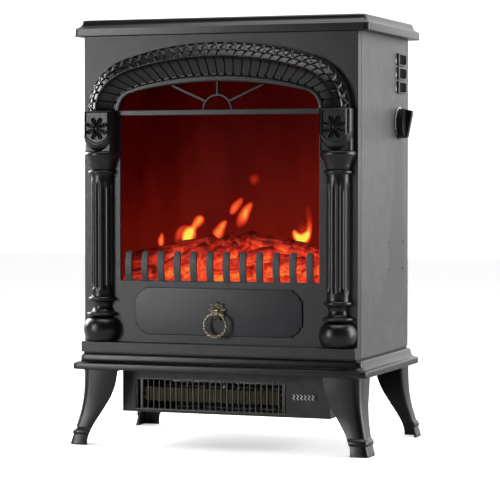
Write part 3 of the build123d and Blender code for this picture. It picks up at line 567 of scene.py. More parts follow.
share_rows = sorted({0.0, 0.02, 0.05, 0.1, 0.135, 0.15, 0.165, 0.168, 0.174, 0.180, 0.186, 0.192, 0.198, 0.204}
                    | {0.206 + 0.422 * step / 13 for step in range(14)} | {0.631, 0.644, 0.646, 0.656, 0.69, 0.73}
                    | {0.774, 0.784, 0.786, 0.799} | {0.801 + 0.168 * step / 17 for step in range(18)}
                    | {0.971, 0.978, 0.985, 0.992, 1.0})
arch_steps = 780


def carved_arch():
    """The arch moulding as a relief on a grid laid along it, closed by a flat back."""
    shape = bmesh.new()
    bmesh.ops.create_grid(shape, x_segments=arch_steps, y_segments=len(share_rows) - 1, size=0.5)
    for vertex in shape.verts:
        along = vertex.co.x + 0.5
        share = share_rows[round((vertex.co.y + 0.5) * (len(share_rows) - 1))]
        inner_x, inner_z = arch_point(*window_arch, along)
        outer_x, outer_z = arch_point(*outer_arch, along)
        x = inner_x + (outer_x - inner_x) * share
        z = inner_z + (outer_z - inner_z) * share
        vertex.co = (x * MM, face_y - arch_relief(along, share) * MM, spring_z + z * MM)
    give_back(shape, 1, face_y + 0.2 * MM)
    return make_piece("arch_moulding", shape, black_moulding, "cabinet", ("arch_surround",), hard=50)


carved_arch()

# %% [markdown]
# Each column is a turning: a capital, a fluted shaft, two rings, a waist and a round bun. It is turned the
# way a wood-turner would, by spinning its half outline about its axis. The flutes are sunk afterwards, by
# drawing the points of the shaft inwards along five lines, and the back half is cut away where the column
# meets the face.

# %% Columns


def swell(low, high, neck, belly, steps=10, power=0.75):
    """Outline points of a rounded ring or bun between two heights."""
    rows = []
    for step in range(steps + 1):
        share = step / steps
        rows.append((neck + (belly - neck) * math.sin(math.pi * share) ** power,
                     low + (high - low) * (1 - math.cos(math.pi * share)) / 2))
    return rows


column_outline = (
    [(0, 138.1), (15, 138.1)] + swell(138.6, 170.6, 13.5, 25.3, 22, 0.8) + [(14.6, 171.6)]
    + swell(172.2, 177.4, 16.8, 21.2, 8, 0.6) + [(15.6, 178.2), (13.9, 180.2), (12.8, 183), (12.7, 186), (13.6, 189),
                                                (15.4, 191.3)]
    + swell(192.2, 197.6, 16.0, 19.2, 8, 0.6) + [(15.7, 198.4)] + [(15.5, 199 + step * 3.24) for step in range(50)]
    + swell(359.6, 364.8, 15.8, 19.2, 8, 0.6) + [(17.2, 366.4), (17.6, 370), (19, 374.5), (21, 379), (22.6, 382.4)]
    + [(23.6, 383.4), (23.9, 385.5), (23.6, 388.2), (22.6, 389), (0, 389)]
)
flute_low, flute_high = 208.7, 345.9
flute_half = 2.75


def flute_depth(angle, height):
    """How far the shaft is drawn in at an angle from the front (radians) and a height in mm."""
    across = min(abs(angle - math.radians(34) * line) for line in range(-2, 3)) * 15.5
    end = max(flute_low + flute_half - height, height - flute_high + flute_half, 0)
    reach = math.hypot(across, end)
    return 1.9 * math.sqrt(max(0.0, 1 - (reach / flute_half) ** 2))


def turned_column(side, node):
    """A column spun from its outline, fluted, and cut flat where it meets the face."""
    low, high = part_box(node)
    axis = Vector(((low[0] + high[0]) / 2, face_y, 0))
    shape = bmesh.new()
    line = [shape.verts.new((axis.x + radius * MM, axis.y, height * MM)) for radius, height in column_outline]
    for start, end in zip(line, line[1:]):
        shape.edges.new((start, end))
    bmesh.ops.spin(shape, geom=shape.verts[:] + shape.edges[:], cent=axis, axis=(0, 0, 1), angle=2 * math.pi,
                   steps=144, use_merge=True)
    bmesh.ops.remove_doubles(shape, verts=shape.verts, dist=0.01 * MM)
    for vertex in shape.verts:
        out = vertex.co - Vector((axis.x, axis.y, vertex.co.z))
        height = vertex.co.z / MM
        if 200 < height < 358 and out.length > 10 * MM:
            vertex.co -= out.normalized() * flute_depth(math.atan2(out.x, -out.y), height) * MM
    cut = bmesh.ops.bisect_plane(shape, geom=shape.verts[:] + shape.edges[:] + shape.faces[:],
                                 plane_co=(0, face_y + 0.3 * MM, 0), plane_no=(0, 1, 0), clear_outer=True)
    rim = [each for each in cut["geom_cut"] if isinstance(each, bmesh.types.BMEdge)]
    bmesh.ops.edgeloop_fill(shape, edges=rim)
    name = ("left" if side < 0 else "right") + "_turned_column"
    return make_piece(name, shape, black_moulding, "cabinet", (node,), hard=50)


for side, node in ((-1, "left_column"), (1, "right_column")):
    turned_column(side, node)

# %% [markdown]
# Over each column stands a square block with a flower on a shield. It is cast in one piece, so it is a
# relief again: a grid over the block's front is lifted by the shield's rim, eight hollow petals and the
# flower's eye. The sides fall away in a bevel, and below the shield the block sweeps back to meet the
# capital.

# %% Rosette blocks
block_front = 20.5
flower_high = 30.5


def block_relief(x, z):
    """How far a block stands off the face, in mm, x from its middle and z above its foot."""
    half, tall = 20.5, 54.0
    side = min(1.0, (half - abs(x)) / 3.6)
    proud = block_front - 3.4 * (1 - side)
    arc = 10.6 + 10.2 * (abs(x) / 16.6) ** 2
    inside = min(16.6 - abs(x), z - arc, 53.0 - z)
    proud += 1.4 * ridge(inside - 0.6, 0.8) - 0.9 * min(1.0, max(0.0, (inside - 1.2) / 0.5))
    if z < arc - 1.0:
        proud -= 5.0 * min(1.0, (arc - 1.0 - z) / 9.0) ** 1.5
    reach = math.hypot(x, z - flower_high)
    if reach < 16.5:
        turn = (math.degrees(math.atan2(z - flower_high, x)) - 22.5) % 45
        off = reach * math.sin(math.radians(min(turn, 45 - turn)))
        along = reach * math.cos(math.radians(min(turn, 45 - turn)))
        if 3.4 < along < 15.2:
            share = (along - 3.4) / 11.8
            wide = 2.0 * math.sin(math.pi * share**1.6) ** 0.6 + 0.2
            proud += 2.3 * ridge(off - wide, 1.0) - 1.2 * max(0.0, 1 - off / wide)
        if reach < 3.0:
            proud += 2.0 * math.sqrt(max(0.0, 1 - (reach / 3.0) ** 2))
    return min(proud, 22.4) - 1.0 * max(0.0, 1 - min(tall - z, z) / 0.8)


def rosette_block(node):
    """A flower block carved on a grid over its front and closed by a flat back."""
    low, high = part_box(node)
    middle = (low[0] + high[0]) / 2
    shape = bmesh.new()
    bmesh.ops.create_grid(shape, x_segments=164, y_segments=208, size=0.5)
    for vertex in shape.verts:
        x = vertex.co.x * 41.0
        z = (vertex.co.y + 0.5) * 54.3
        vertex.co = (middle + x * MM, face_y - block_relief(x, z) * MM, low[2] + z * MM)
    give_back(shape, 1, face_y + 0.2 * MM)
    return make_piece(node + "_carved", shape, black_moulding, "cabinet", (node,), hard=50)


for node in ("left_rosette_block", "right_rosette_block"):
    rosette_block(node)

# %% [markdown]
# Flat stamped and moulded parts already have their true shape in the frame. What they lack is the small
# radius that any mould or press leaves, and that radius is what catches the light along every edge. So
# these parts are copied, and their hard edges are rounded.

# %% Fascia, fanlight, fret, ash panel and case
softened("front_fascia", fascia_black, 0.7, 3)
softened("fanlight", black_moulding, 0.8, 3)
softened("fire_fret", cast_grey, 0.9, 3, 40)
softened("heater_case", case_paint, 0.5, 2, 40)


def notched_panel():
    """The ash panel: a raised plaque whose corners are notched, stepped and chamfered."""
    low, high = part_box("ash_panel")
    half, deep, mid = (high[0] - low[0]) / 2, high[1] - low[1], (high[2] + low[2]) / 2
    tall = (high[2] - low[2]) / 2
    notch = [(0, 13.4), (3.2, 13.4), (3.2, 10.2), (10.2, 3.2), (13.4, 3.2), (13.4, 0)]
    shape = bmesh.new()
    outline = []
    for turn_x, turn_z in ((1, 1), (-1, 1), (-1, -1), (1, -1)):
        corner = [(turn_x * (half - a * MM), mid + turn_z * (tall - b * MM)) for a, b in notch]
        outline += corner if turn_x * turn_z > 0 else corner[::-1]
    ring = [shape.verts.new((x, high[1], z)) for x, z in outline]
    plate = shape.faces.new(ring)
    lifted = bmesh.ops.extrude_face_region(shape, geom=[plate], use_keep_orig=True)["geom"]
    front = [each for each in lifted if isinstance(each, bmesh.types.BMVert)]
    bmesh.ops.translate(shape, vec=(0, -deep, 0), verts=front)
    rim = [edge for edge in shape.edges if all(vertex in front for vertex in edge.verts)]
    bevel_edges(shape, rim, 1.1, 4)
    return make_piece("ash_panel_plaque", shape, fascia_black, "cabinet", ("ash_panel",), hard=40)


notched_panel()

# %% [markdown]
# The legs are open corner shells like bracket feet. Each is lofted: an L-shaped section with a round corner
# is drawn at a row of heights, wide at the knee, narrow at the ankle and spread at the foot, and the
# sections are bridged. The ring round the ankle is a bulge in the same loft.

# %% Legs
# Each row: height, reach in X and Y from the legs' middle, wing length in X and Y, all in mm.
leg_rows = (
    (0.0, 207.9, 128.4, 25.0, 31.0), (2.5, 207.8, 128.3, 24.8, 30.6), (7.0, 206.6, 127.6, 23.3, 29.2),
    (13.0, 204.6, 126.4, 22.5, 28.5), (26.0, 201.6, 123.2, 25.0, 27.0), (45.0, 197.2, 119.6, 32.5, 30.5),
    (63.0, 194.6, 118.6, 41.5, 36.0), (80.0, 194.0, 118.5, 48.0, 41.5), (100.6, 194.0, 118.5, 51.5, 45.0),
)
leg_heights = ([0, 0.4, 1.2, 2.5, 4.5, 7, 10, 12.6, 13.6, 14.2, 14.8, 15.6, 16.8, 18, 19.2, 20.4, 21.2, 21.8, 22.4]
               + [24 + 2.55 * step for step in range(31)])
shell = 3.2
legs_middle = 6.0


def leg_row(height):
    """Reach and wing lengths at a height, read from the rows with an eased curve through them."""
    for below, above in zip(leg_rows, leg_rows[1:]):
        if height <= above[0]:
            share = (height - below[0]) / (above[0] - below[0])
            return [a + (b - a) * share for a, b in zip(below[1:], above[1:])]
    return list(leg_rows[-1][1:])


def eased_leg_row(height):
    """The same reading, averaged over a few millimetres so that the loft has no creases."""
    spread = min(6.0, height, 100.6 - height)
    rows = [leg_row(height + spread * step / 4) for step in range(-4, 5)]
    return [sum(values) / len(rows) for values in zip(*rows)]


def leg_section(height):
    """Outline of a leg at a height, outer corner at the origin's far side: X and Y reach in mm, from the middle."""
    reach_x, reach_y, wing_x, wing_y = eased_leg_row(height)
    grow = 2.2 * ridge(height - 18, 4.2) - 0.4 * (height < 0.3)
    bend = 0.30 * min(wing_x, wing_y) + grow
    outer_x, outer_y = reach_x + grow, reach_y + grow
    tip_x, tip_y = outer_x - wing_x - grow, outer_y - wing_y - grow
    points = [(tip_x, outer_y - 0.9), (tip_x + 0.3, outer_y - 0.25), (tip_x + 1.0, outer_y)]
    for step in range(13):
        turn = math.radians(90 - 7.5 * step)
        points.append((outer_x - bend + bend * math.cos(turn), outer_y - bend + bend * math.sin(turn)))
    points += [(outer_x, tip_y + 1.0), (outer_x - 0.25, tip_y + 0.3), (outer_x - 0.9, tip_y)]
    inner = max(1.0, bend - shell - grow)
    points += [(outer_x - shell - grow, tip_y), (outer_x - shell - grow, tip_y + 1.0)]
    for step in range(13):
        turn = math.radians(7.5 * step)
        points.append((outer_x - shell - grow - inner + inner * math.cos(turn),
                       outer_y - shell - grow - inner + inner * math.sin(turn)))
    points += [(tip_x + 1.0, outer_y - shell - grow), (tip_x, outer_y - shell - grow)]
    return points


def lofted_leg(side, end, node):
    """A leg bridged through its sections, with its screw plate inside the top."""
    shape = bmesh.new()
    rings = []
    for height in leg_heights:
        ring = [shape.verts.new((side * x * MM, (legs_middle + end * y) * MM, height * MM))
                for x, y in leg_section(height)]
        rings.append([shape.edges.new((ring[i - 1], ring[i])) for i in range(len(ring))])
    for lower, upper in zip(rings, rings[1:]):
        bmesh.ops.bridge_loops(shape, edges=lower + upper)
    for ring in (rings[0], rings[-1]):
        bmesh.ops.contextual_create(shape, geom=ring)
    add_block(shape, (side * 169 * MM, (legs_middle + end * 96) * MM, 99.1 * MM), (44 * MM, 41 * MM, 3 * MM))
    return make_piece(node + "_shell", shape, black_moulding, "cabinet", (node,), hard=50)


for side, side_name in ((-1, "left"), (1, "right")):
    for end, end_name in ((-1, "front"), (1, "rear")):
        lofted_leg(side, end, f"{end_name}_{side_name}_leg")

# %% [markdown]
# The pull is cast brass that has been browned and rubbed bright: a leaf plate, a wrapped knuckle and a ring
# whose lower half is twisted like rope. The plate is a disc of rings whose rim is drawn out into leaf tips
# and whose surface is ridged along each leaf. The ring is a spun circle whose tube is swollen along a
# helix.

# %% Pull
ring_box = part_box("pull_ring")
ring_middle = box_middle(*ring_box)
ring_radius = 15.1
plate_middle = Vector((0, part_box("ash_panel")[0][1], 181.5 * MM))
leaf_count = 9


def leaf_reach(turn):
    """Rim of the leaf plate at an angle: leaf tips with smaller tips between them."""
    wave = 0.5 + 0.5 * math.cos(leaf_count * turn)
    small = 0.5 + 0.5 * math.cos(3 * leaf_count * turn)
    return 9.2 + 3.2 * wave**1.2 + 0.8 * small


def leaf_plate():
    """A spun disc drawn out into leaves, ridged and cupped."""
    shape = bmesh.new()
    count = 18
    line = [shape.verts.new((share / count, 0, 0)) for share in range(count + 1)]
    for start, end in zip(line, line[1:]):
        shape.edges.new((start, end))
    bmesh.ops.spin(shape, geom=shape.verts[:] + shape.edges[:], cent=(0, 0, 0), axis=(0, 1, 0),
                   angle=2 * math.pi, steps=216, use_merge=True)
    bmesh.ops.remove_doubles(shape, verts=shape.verts, dist=0.0001)
    for vertex in shape.verts:
        share = math.hypot(vertex.co.x, vertex.co.z)
        turn = math.atan2(vertex.co.x, vertex.co.z)
        reach = share * leaf_reach(turn)
        rib = ridge((turn * leaf_count / (2 * math.pi) + 0.5) % 1 - 0.5, 0.14)
        vein = 0.5 + 0.5 * math.cos(3 * leaf_count * turn)
        lift = 1.2 + 1.5 * math.sin(math.pi * min(1, share * 0.9)) + share * (1.4 * rib + 1.1 * vein)
        lift *= min(1.0, (1 - share) * 12 + 0.15)
        vertex.co = (plate_middle.x + reach * math.sin(turn) * MM, plate_middle.y - lift * MM,
                     plate_middle.z + reach * math.cos(turn) * MM)
    give_back(shape, 1, plate_middle.y + 0.1 * MM)
    return make_piece("pull_leaf_plate", shape, antique_brass, "cabinet", ("pull_backplate",), hard=60)


def hoop(shape, middle, axis, radius, tube, steps=48, sides=12):
    """Adds a closed ring of round wire to a shape, about an axis of X or Y."""
    across = Vector((0, 0, 1))
    start = bmesh.ops.create_circle(shape, segments=sides, radius=tube * MM)["verts"]
    stand = Matrix.Rotation(math.radians(90), 4, axis)
    bmesh.ops.transform(shape, matrix=Matrix.Translation(middle + across * radius * MM) @ stand, verts=start)
    loop = {edge for vertex in start for edge in vertex.link_edges}
    about = (1, 0, 0) if axis == "X" else (0, 1, 0)
    before = set(shape.verts)
    bmesh.ops.spin(shape, geom=start + list(loop), cent=middle, axis=about, angle=2 * math.pi, steps=steps,
                   use_merge=True)
    return start + [vertex for vertex in shape.verts if vertex not in before]


def twisted_ring():
    """The ring: plain wire over its upper half, rope below."""
    shape = bmesh.new()
    hoop(shape, ring_middle, "Y", ring_radius, 1.0, 216, 20)
    for vertex in shape.verts:
        out = vertex.co - ring_middle
        turn = math.atan2(out.x, out.z)
        spoke = Vector((math.sin(turn), 0, math.cos(turn)))
        centre = ring_middle + spoke * ring_radius * MM
        offset = vertex.co - centre
        around = math.atan2(offset.y, Vector((offset.x, 0, offset.z)).dot(spoke))
        low = min(1.0, max(0.0, (abs(turn) - math.radians(88)) / math.radians(8)))
        rope = 1.35 + 1.1 * (0.5 + 0.5 * math.cos(2 * around - 18 * turn)) ** 1.1
        vertex.co = centre + offset * (1.6 * (1 - low) + rope * low)
    return make_piece("pull_twisted_ring", shape, antique_brass, "pull", ("pull_ring",), hard=60)


def knuckle():
    """Four turns of wire round the top of the ring, and the stem that ties them to the plate."""
    shape = bmesh.new()
    top = ring_middle + Vector((0, 0, ring_radius * MM))
    for place in (-3.0, -1.0, 1.0, 3.0):
        hoop(shape, top + Vector((place * MM, 0, 0)), "X", 3.0, 1.05, 40, 10)
    stem = bmesh.ops.create_cone(shape, cap_ends=True, segments=20, radius1=2.6 * MM, radius2=2.0 * MM,
                                 depth=5 * MM)
    place = Matrix.Translation(top + Vector((0, 5.0 * MM, 2.6 * MM))) @ Matrix.Rotation(math.radians(78), 4, "X")
    bmesh.ops.transform(shape, matrix=place, verts=stem["verts"])
    return make_piece("pull_knuckle", shape, antique_brass, "cabinet", (), hard=60)


leaf_plate()
twisted_ring()
knuckle()

# %% [markdown]
# Behind the glass lies the fire. The log bed of such a stove is a thin moulding of clear resin, painted
# dark on its tops and lit from below, so it glows most where it is low and thin. It is made as one lumpy
# sheet for the embers, with rough logs laid over it. A log is a tube whose surface is pushed in and out by
# noise stretched along its grain.

# %% Ember bed and logs
random.seed(7)
heap_ridge = ((-144, 238), (-105, 244), (-66, 252), (-43, 260), (-14, 262), (30, 262), (60, 258), (98, 256), (120, 248),
              (144, 244))


def ember_bed():
    """The glowing sheet under the logs: it climbs from the fret to a ridge, and is lumpy all over."""
    low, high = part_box("log_bed")
    shape = bmesh.new()
    bmesh.ops.create_grid(shape, x_segments=190, y_segments=52, size=0.5)
    for vertex in shape.verts:
        x = low[0] / MM + (vertex.co.x + 0.5) * (high[0] - low[0]) / MM
        y = -96.5 + (vertex.co.y + 0.5) * 72
        climb = min(1.0, (y + 96.5) / 46)
        z = 213 + (ramp(x, *heap_ridge) - 213) * (1 - (1 - climb) ** 2)
        lump = noise.noise(Vector((x / 11, y / 11, 3.1))) * 4.2 + noise.noise(Vector((x / 4.4, y / 4.4, 8.7))) * 1.9
        vertex.co = (x * MM, y * MM, (z + lump * min(1.0, climb * 5)) * MM)
    give_back(shape, 2, low[2])
    return shape


def rough_log(shape, start, end, radius_start, radius_end, seed):
    """Adds a rough log between two points (mm): a tube with bark ridges along its grain and worn, broken ends."""
    start, end = Vector(start), Vector(end)
    along = (end - start).normalized()
    across = along.cross(Vector((0, 0, 1))).normalized()
    lifted = across.cross(along)
    steps, sides = max(14, int((end - start).length / 2.2)), 44
    sheet = bmesh.ops.create_grid(shape, x_segments=steps, y_segments=sides, size=0.5)["verts"]
    for vertex in sheet:
        share = vertex.co.x + 0.5
        turn = (vertex.co.y + 0.5) * 2 * math.pi
        turn = 0 if turn > 2 * math.pi - 1e-4 else turn
        radius = radius_start + (radius_end - radius_start) * share
        near_end = min(share, 1 - share) * (end - start).length / radius
        radius *= min(1.0, 0.55 + 0.45 * math.sqrt(min(1.0, near_end / 0.35)))
        ring = Vector((math.cos(turn), math.sin(turn), 0))
        grain = noise.noise(Vector((ring.x * 2.6, ring.y * 2.6, share * (end - start).length / 34 + seed)))
        bark = noise.noise(Vector((ring.x * 6.5, ring.y * 6.5, share * (end - start).length / 19 + seed * 3)))
        knot = noise.noise(Vector((ring.x * 1.2, ring.y * 1.2, share * (end - start).length / 15 + seed * 7)))
        radius *= 1 + 0.16 * grain + 0.13 * abs(bark) + 0.12 * knot
        place = start + (end - start) * share + (across * ring.x + lifted * ring.y) * radius
        vertex.co = place * MM
    bmesh.ops.remove_doubles(shape, verts=sheet, dist=0.02 * MM)
    live = [vertex for vertex in sheet if vertex.is_valid]
    rim = [edge for vertex in live for edge in vertex.link_edges if edge.is_boundary]
    bmesh.ops.holes_fill(shape, edges=list(set(rim)), sides=0)


log_places = (
    ((-143, -58, 240), (-20, -55, 264), 13.5, 15.5), ((-92, -84, 224), (-24, -64, 257), 14, 17),
    ((-34, -78, 238), (14, -58, 262), 13, 17), ((-8, -74, 268), (-3, -40, 275), 7.5, 8.5),
    ((12, -72, 268), (24, -38, 276), 9, 9.5), ((26, -60, 272), (88, -57, 262), 9.5, 11),
    ((84, -60, 263), (126, -62, 250), 10.5, 11.5), ((18, -82, 247), (66, -72, 256), 9.5, 10.5),
    ((56, -86, 232), (112, -78, 244), 10, 11), ((-142, -84, 221), (-96, -82, 228), 9, 10),
    ((106, -84, 228), (142, -70, 246), 9, 9.5), ((-20, -90, 224), (42, -86, 230), 9, 9),
)

# %% [markdown]
# The glow is a colour on a scale of heat, from near-black through maroon and scarlet to orange. The heat of
# a point is read from its height, from whether it faces up, from how deep it lies in a crack, and from two
# sizes of noise. The same scale of heat is a shared effect, because the screen, the liner and the flames
# use it too.

# %% Heat and glow


def heat_group():
    """Heat from 0 to 1 turned into the colour that lit resin shows."""
    group, given, result = new_group(
        "heat_colour", [("Heat", "NodeSocketFloat", 0.5)], [("Color", "NodeSocketColor")])
    scale = group.nodes.new("ShaderNodeValToRGB")
    stops = ((0.0, (0.010, 0.0, 0.0)), (0.16, (0.040, 0.0006, 0.0004)), (0.34, (0.155, 0.006, 0.003)),
             (0.52, (0.52, 0.022, 0.010)), (0.68, (0.92, 0.062, 0.020)), (0.82, (1.0, 0.20, 0.035)),
             (0.92, (1.0, 0.46, 0.05)), (1.0, (1.0, 0.88, 0.10)))
    while len(scale.color_ramp.elements) < len(stops):
        scale.color_ramp.elements.new(0.5)
    for element, (place, colour) in zip(scale.color_ramp.elements, stops):
        element.position = place
        element.color = (*colour, 1)
    group.links.new(given.outputs["Heat"], scale.inputs[0])
    group.links.new(scale.outputs[0], result.inputs["Color"])
    return group


effects["heat"] = heat_group()


def heat_node(tree, heat):
    """Place the shared heat colour and feed it."""
    node = tree.nodes.new("ShaderNodeGroup")
    node.node_tree = effects["heat"]
    tree.links.new(heat, node.inputs["Heat"])
    return node.outputs["Color"]


def ember_look():
    """Painted resin lit from below."""
    material, tree, shader, vector = new_look("ember_resin")
    split = tree.nodes.new("ShaderNodeSeparateXYZ")
    tree.links.new(vector, split.inputs[0])
    geometry = tree.nodes.new("ShaderNodeNewGeometry")
    facing = tree.nodes.new("ShaderNodeSeparateXYZ")
    tree.links.new(geometry.outputs["Normal"], facing.inputs[0])
    low = math_node(tree, "MULTIPLY_ADD", split.outputs["Z"], -3.6, 1.60)
    crown = math_node(tree, "MULTIPLY_ADD", split.outputs["Z"], 22.0, -5.76, clamp=True)
    low = math_node(tree, "SUBTRACT", low, math_node(tree, "MULTIPLY", crown, 0.20))
    left = math_node(tree, "MULTIPLY_ADD", split.outputs["X"], 5.5, 0.42)
    left = math_node(tree, "MINIMUM", math_node(tree, "MAXIMUM", left, -0.26), 0.0)
    upward = math_node(tree, "MULTIPLY", math_node(tree, "MAXIMUM", facing.outputs["Z"], 0.0), 0.30)
    crack = math_node(tree, "MULTIPLY", math_node(tree, "SUBTRACT", geometry.outputs["Pointiness"], 0.5), 3.2)
    coarse = math_node(tree, "MULTIPLY_ADD", noise_node(tree, vector, 75.0, 3.0), 0.62, -0.31)
    fine = math_node(tree, "MULTIPLY_ADD", noise_node(tree, vector, 240.0, 3.0), 0.44, -0.22)
    heat = math_node(tree, "SUBTRACT", math_node(tree, "ADD", low, left), upward)
    heat = math_node(tree, "SUBTRACT", heat, crack)
    heat = math_node(tree, "ADD", heat, math_node(tree, "ADD", coarse, fine))
    heat = math_node(tree, "MAXIMUM", math_node(tree, "MINIMUM", heat, 0.84), 0.1)
    tree.links.new(heat_node(tree, heat), shader.inputs["Emission Color"])
    shader.inputs["Emission Strength"].default_value = 1.0
    shader.inputs["Base Color"].default_value = (0.045, 0.004, 0.003, 1)
    smears = place_effect(tree, "smear", vector, {"Roughness": 0.5, "Amount": 0.3})
    tree.links.new(smears.outputs["Roughness"], shader.inputs["Roughness"])
    shader.inputs["Specular IOR Level"].default_value = 0.15
    skin = place_effect(tree, "grain", vector, {"Fine Scale": 420.0, "Ripple Share": 0.6})
    bump = tree.nodes.new("ShaderNodeBump")
    bump.inputs["Strength"].default_value = 0.7
    bump.inputs["Distance"].default_value = 0.0012
    tree.links.new(skin.outputs["Height"], bump.inputs["Height"])
    tree.links.new(bump.outputs[0], shader.inputs["Normal"])
    return material


def screen_look(name, level, side_level):
    """A translucent panel lit from behind: brighter low down and to the right, with faint upright streaks. On the black
    liner the same glow is painted firelight.
    """
    material, tree, shader, vector = new_look(name)
    split = tree.nodes.new("ShaderNodeSeparateXYZ")
    tree.links.new(vector, split.inputs[0])
    low = math_node(tree, "MULTIPLY_ADD", split.outputs["Z"], -1.05, 0.60)
    right = math_node(tree, "MULTIPLY", split.outputs["X"], side_level)
    stretch = tree.nodes.new("ShaderNodeMapping")
    stretch.inputs["Scale"].default_value = (16, 16, 5)
    tree.links.new(vector, stretch.inputs["Vector"])
    streaks = math_node(tree, "MULTIPLY_ADD", noise_node(tree, stretch.outputs[0], 1.6, 2.0, 0.4), 0.16, -0.08)
    heat = math_node(tree, "ADD", math_node(tree, "ADD", low, right), streaks)
    heat = math_node(tree, "MULTIPLY", heat, level)
    heat = math_node(tree, "MAXIMUM", math_node(tree, "MINIMUM", heat, 0.42), 0.03)
    tree.links.new(heat_node(tree, heat), shader.inputs["Emission Color"])
    shader.inputs["Emission Strength"].default_value = 1.0
    shader.inputs["Base Color"].default_value = (0.006, 0.001, 0.001, 1)
    smears = place_effect(tree, "smear", vector, {"Roughness": 0.6, "Amount": 0.1})
    tree.links.new(smears.outputs["Roughness"], shader.inputs["Roughness"])
    shader.inputs["Specular IOR Level"].default_value = 0.03
    return material


ember_resin = ember_look()
make_piece("ember_bed", ember_bed(), ember_resin, "cabinet", ("log_bed",), hard=80)
logs = bmesh.new()
for index, (start, end, radius_start, radius_end) in enumerate(log_places):
    rough_log(logs, start, end, radius_start, radius_end, 4.7 * index + 1.3)
make_piece("resin_logs", logs, ember_resin, "cabinet", (), hard=80)
screen_acrylic = screen_look("screen_acrylic", 1.0, 0.30)
# The liner is a black sheet, not a lamp: its glow is painted firelight, the fire's red light painted onto it as
# emission.
liner_painted_firelight = screen_look("liner_painted_firelight", 0.82, 0.0)
dress(screen_acrylic, "flame_screen")
dress(liner_painted_firelight, "firebox_liner")

# %% [markdown]
# The flames are light thrown on the screen from behind by a turning spindle, so they have no thickness.
# Each tongue is a strip just in front of the screen that follows a curved line. Its heat is stored on its
# points, hot along the middle and cool at the rim, and the finish turns heat into colour and fades the cool
# rim away.

# %% Flames
flame_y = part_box("flame_screen")[0][1] - 1.5 * MM
# Each row of a tongue: x, height, half width, all in mm, and heat.
tongues = (
    ((-117.4, 258.5, 1.5, 0.5), (-117.4, 265, 3.8, 0.86), (-117.2, 270.5, 4.4, 0.88), (-116.2, 276.5, 3.2, 0.72),
     (-115.6, 283.0, 1.2, 0.42)),
    ((-96, 263, 4.0, 0.4), (-92.5, 273, 6.5, 0.62), (-88, 281.5, 6.5, 0.72), (-81.5, 288, 4.6, 0.62),
     (-78, 292, 2.0, 0.4)),
    ((-81.0, 265.5, 4.5, 1.0), (-79.5, 270.5, 7.8, 1.12), (-77.6, 276.5, 9.2, 1.14), (-73.6, 282.5, 8.4, 1.08),
     (-70.4, 286.5, 5.4, 0.94), (-68.0, 290, 5.0, 0.88), (-64.0, 294.6, 6.4, 0.90), (-59.5, 299, 6.2, 0.88),
     (-54.0, 304, 2.4, 0.6)),
    ((-39, 274, 8, 0.72), (-34.2, 280, 7.8, 0.86), (-30.8, 286, 6.2, 0.88), (-26.4, 292.6, 4.6, 0.84),
     (-19.5, 300, 1.8, 0.5)),
    ((-16.6, 304.0, 2.2, 0.45), (-14.0, 309.0, 5.0, 0.70), (-9.4, 315.5, 6.0, 0.78), (-3.2, 322.5, 5.4, 0.70),
     (3.4, 331.0, 2.4, 0.42)),
    ((-7.5, 286, 6, 0.42), (-2.6, 294.5, 7.4, 0.64), (1.6, 302, 7.2, 0.88), (5.4, 309.5, 6.4, 0.90),
     (10.4, 316.5, 5.0, 0.80), (16.6, 325.0, 2.0, 0.5)),
    ((12.5, 341, 4, 0.26), (16.8, 349.5, 9.0, 0.50), (18.4, 355.5, 9.5, 0.50), (20.5, 363, 5, 0.3)),
    ((73.6, 287.5, 1.8, 0.7), (75.4, 280.5, 4.4, 1.0), (80.0, 275.2, 6.4, 1.12), (85.2, 274.0, 7.0, 1.14),
     (90.2, 277.0, 6.4, 1.1), (93.6, 282.0, 4.8, 0.96), (95.2, 288.5, 4.2, 0.78), (95.4, 298, 5.6, 0.56),
     (93.0, 310, 6.5, 0.46), (90.0, 324, 5, 0.36)),
)
# Each halo: x, height, half width, half height, heat.
halos = ((-76, 280, 26, 26, 0.46), (-30, 290, 24, 26, 0.45), (2, 302, 28, 32, 0.46), (86, 284, 30, 34, 0.52),
         (18, 352, 17, 17, 0.36), (-117, 268, 12, 20, 0.36), (120, 270, 26, 44, 0.48))


def curve_row(rows, place):
    """A smooth reading between rows of numbers, at a place counted in rows."""
    index = min(int(place), len(rows) - 2)
    share = place - index
    before, here = rows[max(index - 1, 0)], rows[index]
    after, later = rows[index + 1], rows[min(index + 2, len(rows) - 1)]
    return [0.5 * (2 * b + (c - a) * share + (2 * a - 5 * b + 4 * c - d) * share**2
                   + (3 * b - a - 3 * c + d) * share**3) for a, b, c, d in zip(before, here, after, later)]


